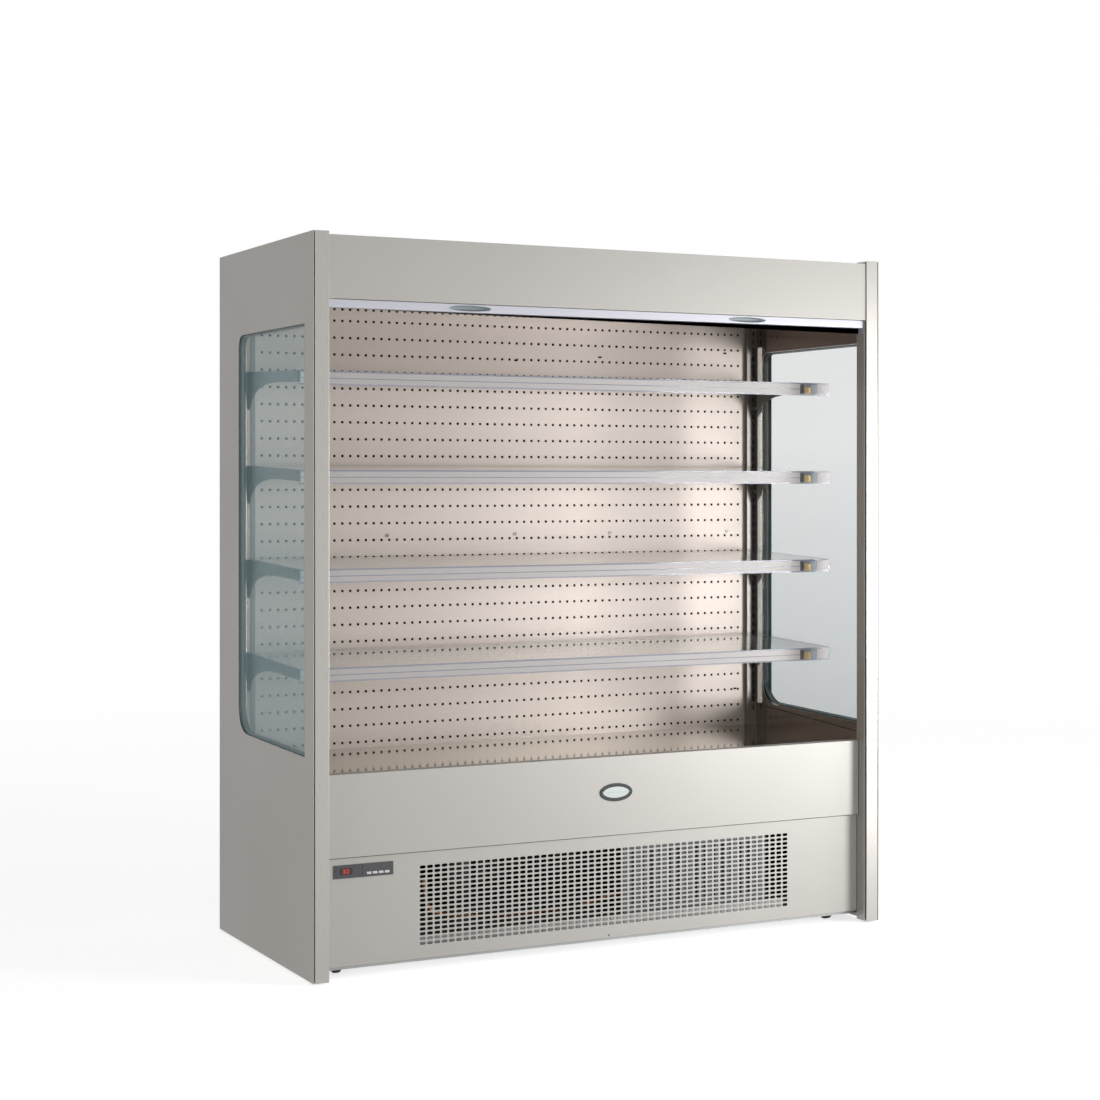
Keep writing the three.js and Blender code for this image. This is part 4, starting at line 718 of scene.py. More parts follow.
def coat(piece: bpy.types.Object, *materials: bpy.types.Material) -> None:
    """Gives a piece its materials.

    Args:
        piece: the piece.
        materials: its materials, in the order of its slots.
    """
    piece.data.materials.clear()
    for material in materials:
        piece.data.materials.append(material)


def two_tone(
    piece: bpy.types.Object, first: bpy.types.Material, second: bpy.types.Material, test: Test
) -> None:
    """Gives a piece one material, and another on the faces that pass a test.

    Args:
        piece: the piece.
        first: its main material.
        second: the other one.
        test: takes a face's middle and its normal.
    """
    coat(piece, first, second)
    for face in piece.data.polygons:
        face.material_index = int(test(face.center, face.normal))


def hand_over(piece: bpy.types.Object, slot: str, *nodes: str, body: str = CABINET) -> None:
    """Lets a finished piece ride on its body, and stand for solids where it does.

    Args:
        piece: the finished piece, at the origin.
        slot: not used.
        nodes: the solids that it stands for.
        body: the body that it moves with.
    """
    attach(piece, body)
    if nodes:
        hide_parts(*nodes)
    log.info("%s: %d faces, rides on %s", piece.name, len(piece.data.polygons), body)


def finish(
    piece: bpy.types.Object, material: bpy.types.Material, slot: str, *nodes: str, body: str = CABINET
) -> None:
    """Gives a piece of one material its finish and hands it over."""
    coat(piece, material)
    hand_over(piece, slot, *nodes, body=body)


def eased_copy(node: str, bevel: float, segments: int = 2) -> bpy.types.Object:
    """Copies a solid as one welded mesh and eases its edges.

    Args:
        node: the solid's name.
        bevel: the width of the rounding.
        segments: how many faces round each edge has.

    Returns:
        The piece, at the origin and without a finish.
    """
    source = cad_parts[node]
    clear_selection()
    piece = source.copy()
    piece.data = source.data.copy()
    piece.parent = None
    for key in [k for k in piece.keys() if k.startswith("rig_")]:
        del piece[key]
    bpy.context.scene.collection.objects.link(piece)
    piece.name = piece.data.name = f"{node}_shown"
    with editing(piece, "VERT", "SELECT"):
        bpy.ops.mesh.customdata_custom_splitnormals_clear()
        bpy.ops.mesh.remove_doubles(threshold=WELD)
        bpy.ops.mesh.dissolve_limited(angle_limit=math.radians(0.5))
    if bevel:
        modify(
            piece, "BEVEL", width=bevel, segments=segments, limit_method="ANGLE",
            angle_limit=math.radians(40), use_clamp_overlap=True,
        )
    smooth(piece)
    return piece


@dataclass(frozen=True)
class Dressing:
    """How a solid is shown: its finish, its slot, its eased edges and its body."""

    material: bpy.types.Material
    slot: str
    bevel: float
    body: str = CABINET
    segments: int = 2

    def dress(self, node: str) -> None:
        """Shows one solid as a piece with eased edges and a finish.

        Args:
            node: the solid's name.
        """
        piece = eased_copy(node, self.bevel, self.segments)
        finish(piece, self.material, self.slot, node, body=self.body)


@dataclass(frozen=True)
class Trim:
    """A small block-shaped fitting with a finish, made between two corners."""

    material: bpy.types.Material
    slot: str
    bevel: float

    def fit(self, name: str, low: Place, high: Place) -> None:
        """Makes one fitting and lets it ride on the cabinet."""
        piece = block(name, low, high, self.bevel)
        finish(piece, self.material, self.slot)


class HoleShape(Enum):
    """The outline of a punched hole, with the number of corners it is made of."""

    SLOT = 12
    SQUARE = 4


@dataclass
class PunchedSheet:
    """A flat sheet, facing the front, with a grid of alike holes and folded edges."""

    name: str
    shape: HoleShape
    hole: Span
    pitch: Span
    counts: tuple[int, int]
    middle: Span
    face: float
    edges: tuple[float, float, float, float]
    thickness: float
    flange: float = 0.0
    near: float = 0.0001

    def tile(self) -> bpy.types.Object:
        """Makes the tile round the lowest left hole.

        Returns:
            The tile: a ring of faces from the hole's outline to the tile's edge.
        """
        x = self.middle[0] - self.pitch[0] * (self.counts[0] - 1) / 2
        z = self.middle[1] - self.pitch[1] * (self.counts[1] - 1) / 2
        width, height = self.hole
        centre = (x, self.face, z)
        half_step = math.pi / self.shape.value
        clear_selection()
        bpy.ops.mesh.primitive_circle_add(
            vertices=self.shape.value, radius=0.5, fill_type="NOTHING", location=centre, rotation=UPRIGHT_TURN
        )
        piece = take(self.name)
        with editing(piece, "VERT", "SELECT"):
            bpy.ops.transform.rotate(value=half_step, orient_axis="Y", center_override=centre)
            if self.shape is HoleShape.SLOT:
                bpy.ops.transform.resize(value=(height, 1, height), center_override=centre)
                pull = (width - height) / 2
                pick_corners(piece, lambda co: co.x > x)
                bpy.ops.transform.translate(value=(pull, 0, 0))
                pick_corners(piece, lambda co: co.x < x)
                bpy.ops.transform.translate(value=(-pull, 0, 0))
            else:
                reach = 1 / math.cos(half_step)
                size = (width * reach, 1, height * reach)
                bpy.ops.transform.resize(value=size, center_override=centre)
            bpy.ops.mesh.select_mode(type="EDGE")
            bpy.ops.mesh.select_all(action="SELECT")
            bpy.ops.mesh.extrude_edges_move()
            reach = 2.5 * max(self.pitch) / min(self.hole)
            bpy.ops.transform.resize(value=(reach, 1, reach), center_override=centre)
            for side in (-1, 1):
                for normal, half in (((side, 0, 0), self.pitch[0] / 2), ((0, 0, side), self.pitch[1] / 2)):
                    bpy.ops.mesh.select_all(action="SELECT")
                    plane = Vector(centre) + Vector(normal) * half
                    bpy.ops.mesh.bisect(plane_co=plane, plane_no=normal, clear_outer=True)
        return piece

    def make(self) -> bpy.types.Object:
        """Makes the whole sheet.

        Returns:
            The sheet, with its border, flanges and thickness.
        """
        piece = self.tile()
        repeat(piece, self.counts[0], (self.pitch[0], 0, 0), self.near / 2)
        repeat(piece, self.counts[1], (0, 0, self.pitch[1]), self.near / 2)
        for axis, target in zip((0, 0, 2, 2), self.edges):
            self.stretch(piece, axis, target)
        if self.flange:
            with editing(piece, "EDGE"):
                pick_border(piece, self.on_outline)
                bpy.ops.mesh.extrude_edges_move()
                bpy.ops.transform.translate(value=(0, self.flange, 0))
        with editing(piece, "FACE", "SELECT"):
            bpy.ops.mesh.remove_doubles(threshold=WELD)
            face_outward(piece)
        modify(piece, "SOLIDIFY", thickness=self.thickness, offset=-1, use_even_offset=False)
        smooth(piece, 30)
        return piece

    def on_outline(self, middle: Vector, _way: Vector) -> bool:
        """Tells whether an edge lies on the sheet's outline."""
        places = (middle.x, middle.x, middle.z, middle.z)
        return any(abs(place - edge) < self.near for place, edge in zip(places, self.edges))

    def stretch(self, piece: bpy.types.Object, axis: int, target: float) -> None:
        """Draws the open border on one side out to a target.

        Args:
            piece: the sheet so far.
            axis: 0 for X or 2 for Z.
            target: where the border goes.
        """
        places = [v.co[axis] for v in piece.data.vertices]
        middle = (min(places) + max(places)) / 2
        border = max(places) if target > middle else min(places)
        shift = [0.0, 0.0, 0.0]
        shift[axis] = target - border
        with editing(piece, "EDGE"):
            pick_border(piece, lambda m, way: abs(m[axis] - border) < self.near / 2 and abs(way[axis]) < 0.1)
            bpy.ops.mesh.extrude_edges_move()
            bpy.ops.transform.translate(value=shift)


# ---------------------------------------------------------------------------
# Sub-assemblies
# ---------------------------------------------------------------------------


@dataclass
class Screws:
    """Flat screw heads with a round recess, all facing one way."""

    name: str
    places: list[Place]
    facing: Place
    radius: float
    height: float

    def make(self, palette: Palette) -> None:
        """Makes the screws as one piece that rides on the cabinet.

        Args:
            palette: the finishes.
        """
        way = Vector(self.facing)
        turn = way.to_track_quat("Z", "Y").to_euler()
        first = Vector(self.places[0])
        middle = first + way * self.height / 2
        clear_selection()
        bpy.ops.mesh.primitive_cylinder_add(
            vertices=12, radius=self.radius, depth=self.height, location=middle, rotation=turn
        )
        head = take(self.name)
        with editing(head, "FACE"):
            pick_faces(head, lambda _middle, normal: normal.dot(way) > 0.9)
            bpy.ops.mesh.inset(thickness=self.radius * 0.35)
            bpy.ops.mesh.inset(thickness=self.radius * 0.25, depth=-self.height * 0.5)
        copies = [copy_at(head, Vector(place) - first) for place in self.places[1:]]
        piece = join(self.name, head, *copies)
        smooth(piece)
        finish(piece, palette.screw, "zinc")


@dataclass
class Shell:
    """End walls, posts, glazing, roof, header and rear wall."""

    palette: Palette
    pane: float = 0.004
    pane_inset: float = 0.0005
    spacer: float = 0.003
    spacer_inset: float = 0.001
    spacer_play: float = 0.0006
    seal: float = 0.002
    seal_inset: float = 0.0045
    seal_depth: float = 0.0008
    seal_sunk: float = 0.0010
    gasket: float = 0.026
    gasket_behind: Span = (0.0006, 0.0022)
    gasket_foot: float = 0.020
    gasket_margin: float = 0.010
    rear_top_radius: float = 0.040
    rear_sill_radius: float = 0.082
    sill_rise: float = 0.012
    reveal_margin: float = 0.010
    trim_inside: Span = (0.0008, 0.0014)
    strip_behind: Span = (0.003, 0.0105)
    strip_ends: Span = (0.010, 0.018)
    strip_rise: float = 0.012
    ledge_below: Span = (0.0300, 0.0255)
    ledge_rise: float = 0.030
    post_wall: float = 0.0032
    post_hollow: float = 0.0366
    cap_depths: Span = (0.008, 0.0008)
    head_radius: float = 0.005
    head_height: float = 0.0014
    head_sunk: float = 0.0002
    screw_columns: tuple[float, ...] = (-0.8, -0.4, 0.0, 0.4, 0.8)
    rear_screw_heights: tuple[float, ...] = (0.06, 0.70, 1.34, 1.94)
    roof_screw_rows: Span = (-0.29, 0.32)

    def window_sheet(self, name: str, x: float, inset: float) -> bpy.types.Object:
        """Makes a flat sheet with the window's outline.

        Args:
            name: the sheet's name.
            x: where it stands.
            inset: how far its edge is drawn in from the solid's.

        Returns:
            The sheet, one face.
        """
        low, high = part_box("glazing_left")
        y0, y1 = low.y + inset, high.y - inset
        z0, z1 = low.z + inset, high.z - inset
        middle = (x, (y0 + y1) / 2, (z0 + z1) / 2)
        clear_selection()
        bpy.ops.mesh.primitive_plane_add(size=1, location=middle, rotation=(0, math.pi / 2, 0))
        piece = take(name, (z1 - z0, y1 - y0, 1))
        with editing(piece):
            pick_corners(piece, lambda co: co.y > middle[1] and co.z < middle[2])
            bpy.ops.transform.translate(value=(0, 0, self.sill_rise))
            bpy.ops.mesh.bevel(offset=self.rear_sill_radius - inset, segments=10, affect="VERTICES")
            pick_corners(piece, lambda co: co.y > y1 - 0.001 and co.z > z1 - 0.001)
            bpy.ops.mesh.bevel(offset=self.rear_top_radius - inset, segments=8, affect="VERTICES")
        return piece

    def window_pane(self, name: str, x: float) -> bpy.types.Object:
        """Makes one pane with the window's outline.

        Args:
            name: the pane's name.
            x: the middle of its thickness.

        Returns:
            The pane.
        """
        piece = self.window_sheet(name, x, self.pane_inset)
        modify(piece, "SOLIDIFY", thickness=self.pane, offset=0)
        modify(piece, "BEVEL", width=0.0006, segments=2, limit_method="ANGLE")
        smooth(piece)
        return piece

    def window_ring(self, name: str, x: float, depth: float, inset: float, width: float) -> bpy.types.Object:
        """Makes a ring that follows the window's outline.

        Args:
            name: the ring's name.
            x: the middle of its depth.
            depth: its size along X.
            inset: its outer edge from the solid's.
            width: its width.

        Returns:
            The ring.
        """
        piece = self.window_sheet(name, x, inset)
        with editing(piece, "FACE", "SELECT"):
            bpy.ops.mesh.inset(thickness=width)
            bpy.ops.mesh.delete(type="FACE")
        modify(piece, "SOLIDIFY", thickness=depth, offset=0)
        smooth(piece)
        return piece

    def glazing(self, word: str, sign: float) -> None:
        """Makes one end's two panes, spacer, sealant line and gasket.

        Args:
            word: left or right.
            sign: -1 on the left, 1 on the right.
        """
        low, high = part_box(f"glazing_{word}")
        outer = max(abs(low.x), abs(high.x)) - self.pane / 2
        inner = min(abs(low.x), abs(high.x)) + self.pane / 2
        rims = {"outer": (outer, self.palette.glass_edge), "inner": (inner, self.palette.pane)}
        for label, (x, rim) in rims.items():
            pane = self.window_pane(f"pane_{label}_{word}", sign * x)
            two_tone(pane, self.palette.pane, rim, lambda _middle, normal: abs(normal.x) < 0.4)
            hand_over(pane, "glass", *([f"glazing_{word}"] if label == "outer" else []))
        depth = outer - inner - self.pane - self.spacer_play
        middle = sign * (outer + inner) / 2
        bar = self.window_ring(f"spacer_{word}", middle, depth, self.spacer_inset, self.spacer)
        finish(bar, self.palette.spacer, "anodised")
        place = sign * (outer - self.pane / 2 - self.seal_sunk)
        seal = self.window_ring(f"window_seal_{word}", place, self.seal_depth, self.seal_inset, self.seal)
        finish(seal, self.palette.sealant, "black_plastic")
        xs = sorted(place - sign * behind for behind in self.gasket_behind)
        Trim(self.palette.sealant, "black_plastic", 0.0003).fit(
            f"window_gasket_{word}", (xs[0], high.y - self.gasket, low.z + self.gasket_foot),
            (xs[1], high.y - self.gasket_margin, high.z - self.gasket_margin),
        )

    def end_wall(self, word: str, sign: float) -> None:
        """Dresses one end wall: painted outside, and a stainless liner inside and on the window reveal, its
        colour darkened to paint the shade there.

        Args:
            word: left or right.
            sign: -1 on the left, 1 on the right.
        """
        wall = eased_copy(f"end_wall_{word}", 0.0012)
        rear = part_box(f"end_wall_{word}")[1].y
        with editing(wall):
            pick_corners(wall, lambda co: co.y > rear)
            bpy.ops.transform.resize(value=(1, 0, 1), center_override=(0, rear, 0))
        low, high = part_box(f"glazing_{word}")
        margin = self.reveal_margin

        def lined(middle: Vector, normal: Vector) -> bool:
            """Tells whether a face shows the liner."""
            inside_y = low.y - margin < middle.y < high.y + margin
            inside_z = low.z - margin < middle.z < high.z + margin
            return normal.x * sign < -0.6 or (inside_y and inside_z and abs(normal.x) < 0.3)

        # The liner's dark colour is partly painted shade on the inner faces and reveals.
        two_tone(wall, self.palette.side, self.palette.liner, lined)
        hand_over(wall, "painted_panel", f"end_wall_{word}")

    def window_trims(self, word: str, sign: float) -> None:
        """Makes the bright upright strip and the ledge inside one window.

        Args:
            word: left or right.
            sign: -1 on the left, 1 on the right.
        """
        low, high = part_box(f"glazing_{word}")
        inner = min(abs(low.x), abs(high.x))
        xs = sorted(sign * (inner - inside) for inside in self.trim_inside)
        near, far = (high.y + behind for behind in self.strip_behind)
        strip = block(
            f"bright_strip_{word}", (xs[0], near, low.z + self.strip_ends[0]),
            (xs[1], far, high.z + self.strip_ends[1]), 0.0002,
        )
        move_corners(strip, lambda co: co.y > (near + far) / 2, (-sign * self.strip_rise, 0, 0))
        finish(strip, self.palette.bright, "stainless")
        bottom, top = (low.z - below for below in self.ledge_below)
        ledge = block(f"sill_ledge_{word}", (xs[0], low.y, bottom), (xs[1], near, top), 0.0002)
        move_corners(ledge, lambda co: co.y > (low.y + near) / 2, (0, 0, self.ledge_rise))
        finish(ledge, self.palette.spacer, "stainless")

    def post(self, word: str) -> None:
        """Dresses one post and closes its top with a cap.

        Args:
            word: left or right.
        """
        Dressing(self.palette.post, "anodised", 0.0015, segments=3).dress(f"post_{word}")
        low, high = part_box(f"post_{word}")
        wall = self.post_wall
        Trim(self.palette.charcoal, "black_plastic", 0.0008).fit(
            f"post_cap_{word}", (low.x + wall, high.y - self.post_hollow, high.z - self.cap_depths[0]),
            (high.x - wall, high.y - wall, high.z - self.cap_depths[1]),
        )

    def rear_wall(self) -> None:
        """Dresses the rear wall, drawn in so that its screws' heads stay inside the solid's box."""
        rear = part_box("rear_wall")[1].y
        piece = eased_copy("rear_wall", 0.002)
        move_corners(piece, lambda co: co.y > rear - 0.0005, (0, -self.head_height, 0))
        finish(piece, self.palette.rear, "galvanised", "rear_wall")

    def fixings(self) -> None:
        """Makes the screws along the rear wall and the roof."""
        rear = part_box("rear_wall")[1].y - self.head_height
        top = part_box("roof_panel")[1].z
        behind = [(x, rear, z) for x in self.screw_columns for z in self.rear_screw_heights]
        above = [(x, y, top) for x in self.screw_columns for y in self.roof_screw_rows]
        height = self.head_height
        Screws("rear_screws", behind, (0, 1, 0), self.head_radius, height - self.head_sunk).make(self.palette)
        Screws("roof_screws", above, (0, 0, 1), self.head_radius, height).make(self.palette)

    def build(self) -> None:
        """Builds and dresses the whole shell."""
        for word, sign in SIDES.items():
            self.end_wall(word, sign)
            self.window_trims(word, sign)
            self.glazing(word, sign)
            self.post(word)
        Dressing(self.palette.panel, "painted_panel", 0.0006).dress("header_fascia")
        Dressing(self.palette.rear, "galvanised", 0.0015).dress("roof_panel")
        self.rear_wall()
        Dressing(self.palette.black, "black_plastic", 0.0008).dress("cable_gland")
        self.fixings()


@dataclass
class Canopy:
    """Ceiling liner, air outlet, roller, cloth and pull bar."""

    palette: Palette
    cloth_thickness: float = 0.0006
    cloth_grid: tuple[int, int] = (60, 24)
    cloth_held: float = 0.002
    scoop_inset: float = 0.443
    scoop_drop: float = 0.011
    scoop_half: Span = (0.0635, 0.0088)
    scoop_proud: float = 0.0004
    scoop_wall: float = 0.0008
    scoop_rings: tuple[Span, ...] = ((0.975, 0.0), (0.95, 0.003), (0.9, 0.006), (0.75, 0.003), (0.4, 0.0008))

    def cloth(self) -> None:
        """Makes the blind's cloth as a flat woven sheet where the cloth solid stands, and hides the solid."""
        low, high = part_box("blind_cloth")
        middle = (low + high) / 2
        columns, rows = self.cloth_grid
        clear_selection()
        bpy.ops.mesh.primitive_grid_add(
            x_subdivisions=columns, y_subdivisions=rows, size=1, location=middle, rotation=UPRIGHT_TURN
        )
        piece = take("blind_cloth_woven", (high.x - low.x, high.z - low.z, 1))
        modify(piece, "SOLIDIFY", thickness=self.cloth_thickness, offset=0)
        smooth(piece)
        coat(piece, self.palette.cloth)
        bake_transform(piece)
        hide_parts("blind_cloth")
        log.info("%s: woven cloth between the roller and the bar", piece.name)

    def scoop(self, word: str, sign: float) -> None:
        """Makes the finger scoop that is set in one of the bar's openings.

        Args:
            word: left or right.
            sign: -1 on the left, 1 on the right.
        """
        low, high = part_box("blind_pull_bar")
        x, z = sign * self.scoop_inset, high.z - self.scoop_drop
        clear_selection()
        bpy.ops.mesh.primitive_circle_add(
            vertices=40, radius=1, fill_type="NOTHING", location=(x, low.y - self.scoop_proud, z),
            rotation=UPRIGHT_TURN,
        )
        piece = take(f"grip_scoop_{word}", (*self.scoop_half, 1))
        centre = (x, low.y, z)
        with editing(piece, "EDGE", "SELECT"):
            for shrink, depth in self.scoop_rings:
                bpy.ops.mesh.extrude_edges_move()
                bpy.ops.transform.resize(value=(shrink, 1, shrink), center_override=centre)
                bpy.ops.transform.translate(value=(0, depth, 0))
            bpy.ops.mesh.edge_face_add()
            face_outward(piece)
        modify(piece, "SOLIDIFY", thickness=self.scoop_wall, offset=-1)
        smooth(piece, 60)
        finish(piece, self.palette.scoop, "white_aluminium", body=BLIND)

    def build(self) -> None:
        """Builds and dresses the canopy."""
        Dressing(self.palette.ceiling, "stainless", 0.0004).dress("canopy_liner")
        Dressing(self.palette.post, "anodised", 0.0006).dress("air_outlet")
        Dressing(self.palette.cloth, "blind_fabric", 0.0015, "blind_roller").dress("blind_roller")
        Dressing(self.palette.bar, "white_aluminium", 0.0007, BLIND).dress("blind_pull_bar")
        for word, sign in SIDES.items():
            self.scoop(word, sign)
        self.cloth()


@dataclass
class Front:
    """Fascia, badge plate, vented panel and controller."""

    palette: Palette
    slot_size: Span = (0.0176, 0.0088)
    slot_pitch: Span = (0.02157, 0.0129)
    slot_counts: tuple[int, int] = (55, 17)
    slot_middle: Span = (0.016, 0.17475)
    sheet: float = 0.0015
    opening_margins: Span = (0.006, 0.0035)
    screw_place: Span = (0.007, 0.006)
    blank_half_width: float = 0.0405
    digit_size: Span = (0.0055, 0.010)
    digit_pitch: float = 0.0105
    digit_line: float = 0.0011
    digit_relief: float = 0.0002
    first_digit: Span = (0.0285, 0.001)

    def vent_panel(self) -> None:
        """Makes the vented panel with all of its slots."""
        low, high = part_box("vent_panel")
        piece = PunchedSheet(
            "vent_panel_slotted", HoleShape.SLOT, self.slot_size, self.slot_pitch, self.slot_counts,
            self.slot_middle, low.y, (low.x, high.x, low.z, high.z), self.sheet, high.y - low.y,
        ).make()
        body_low, body_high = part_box("controller")
        across, up = self.opening_margins
        cut(piece, block(
            "cutter", (body_low.x + across, low.y - 0.02, body_low.z + up),
            (body_high.x - across, low.y + 0.03, body_high.z - up),
        ))
        finish(piece, self.palette.panel, "painted_panel", "vent_panel")
        x, rise = self.screw_place
        place = (x, low.y + 0.0003, low.z + rise)
        Screws("vent_panel_screw", [place], (0, -1, 0), 0.0025, 0.0013).make(self.palette)

    def badge(self) -> None:
        """Makes the blank oval badge: a raised rim round a pale domed plate."""
        low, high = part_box("badge_plate")
        middle = (low + high) / 2
        clear_selection()
        bpy.ops.mesh.primitive_cylinder_add(
            vertices=64, radius=0.5, depth=high.y - low.y, location=middle, rotation=UPRIGHT_TURN
        )
        piece = take("badge_plate_oval", (high.x - low.x, high.z - low.z, 1))
        with editing(piece, "FACE"):
            pick_faces(piece, lambda _middle, normal: normal.y < -0.9)
            for width, depth in ((0.0016, 0.0), (0.0075, 0.0), (0.0006, -0.0012), (0.004, 0.0004)):
                bpy.ops.mesh.inset(thickness=width, depth=depth)

        def on_blank(place: Vector, normal: Vector) -> bool:
            """Tells whether a face is on the pale plate inside the rim."""
            within = abs(place.x - middle.x) < self.blank_half_width
            return normal.y < -0.5 and place.y > low.y + 0.0006 and within

        two_tone(piece, self.palette.rim, self.palette.blank, on_blank)
        modify(piece, "BEVEL", width=0.0004, segments=2, limit_method="ANGLE", angle_limit=math.radians(50))
        smooth(piece)
        hand_over(piece, "charcoal", "badge_plate")

    def controller(self) -> None:
        """Makes the controller: housing, lit window with two digits, and the keys."""
        low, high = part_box("controller")
        Dressing(self.palette.charcoal, "charcoal", 0.0008).dress("controller")
        frame_trim = Trim(self.palette.charcoal, "charcoal", 0.0005)
        pane_trim = Trim(self.palette.window, "charcoal", 0.0004)
        seam_trim = Trim(self.palette.black, "black_plastic", 0.0002)
        trims = (
            ("display_frame", frame_trim, (0.006, 0.079), (0.006, 0.005), (0.0006, 0.0010)),
            ("display_pane", pane_trim, (0.016, 0.053), (0.010, 0.008), (0.0010, 0.0004)),
            ("controller_seam", seam_trim, (0.081, 0.0825), (0.002, 0.002), (0.0003, 0.0006)),
        )
        for name, trim, (left, right), (below, above), (proud, sunk) in trims:
            near = (low.x + left, low.y - proud, low.z + below)
            trim.fit(name, near, (low.x + right, low.y + sunk, high.z - above))
        across, up = self.first_digit
        self.digits(low.x + across, low.y - 0.0010, (low.z + high.z) / 2 + up)
        for number in range(1, 5):
            key = Dressing(self.palette.key, "pale_key", 0.0007, f"key_{number}", 3)
            key.dress(f"controller_key_{number}")

    def digits(self, x: float, y: float, z: float) -> None:
        """Makes two seven-segment digits and their point.

        Args:
            x: the middle of the first digit.
            y: the window's face.
            z: the digits' middle height.
        """
        (width, tall), line = self.digit_size, self.digit_line
        level = (width / 2 - line * 0.7, line / 2)
        upright = (line / 2, tall / 4 - line * 0.6)
        bars = {
            "top": (0, tall / 2, level),
            "middle": (0, 0, level),
            "bottom": (0, -tall / 2, level),
            "upper_left": (-width / 2, tall / 4, upright),
            "upper_right": (width / 2, tall / 4, upright),
            "lower_left": (-width / 2, -tall / 4, upright),
            "lower_right": (width / 2, -tall / 4, upright),
        }
        lit = (
            ("top", "middle", "bottom", "upper_right", "lower_right"),
            ("top", "bottom", "upper_left", "upper_right", "lower_left", "lower_right"),
        )
        spots = [
            (x + place * self.digit_pitch + bars[name][0], z + bars[name][1], bars[name][2])
            for place, names in enumerate(lit)
            for name in names
        ]
        spots.append((x + self.digit_pitch / 2, z - tall / 2, (line / 2, line / 2)))
        front, back = y - self.digit_relief, y + self.digit_relief
        pieces = [
            block("bar", (cx - half_x, front, cz - half_z), (cx + half_x, back, cz + half_z), 0.0001, 1)
            for cx, cz, (half_x, half_z) in spots
        ]
        piece = join("display_digits", *pieces)
        finish(piece, self.palette.digit, "charcoal")

    def build(self) -> None:
        """Builds and dresses the front."""
        Dressing(self.palette.panel, "painted_panel", 0.0012, segments=3).dress("upper_fascia")
        self.vent_panel()
        self.badge()
        self.controller()


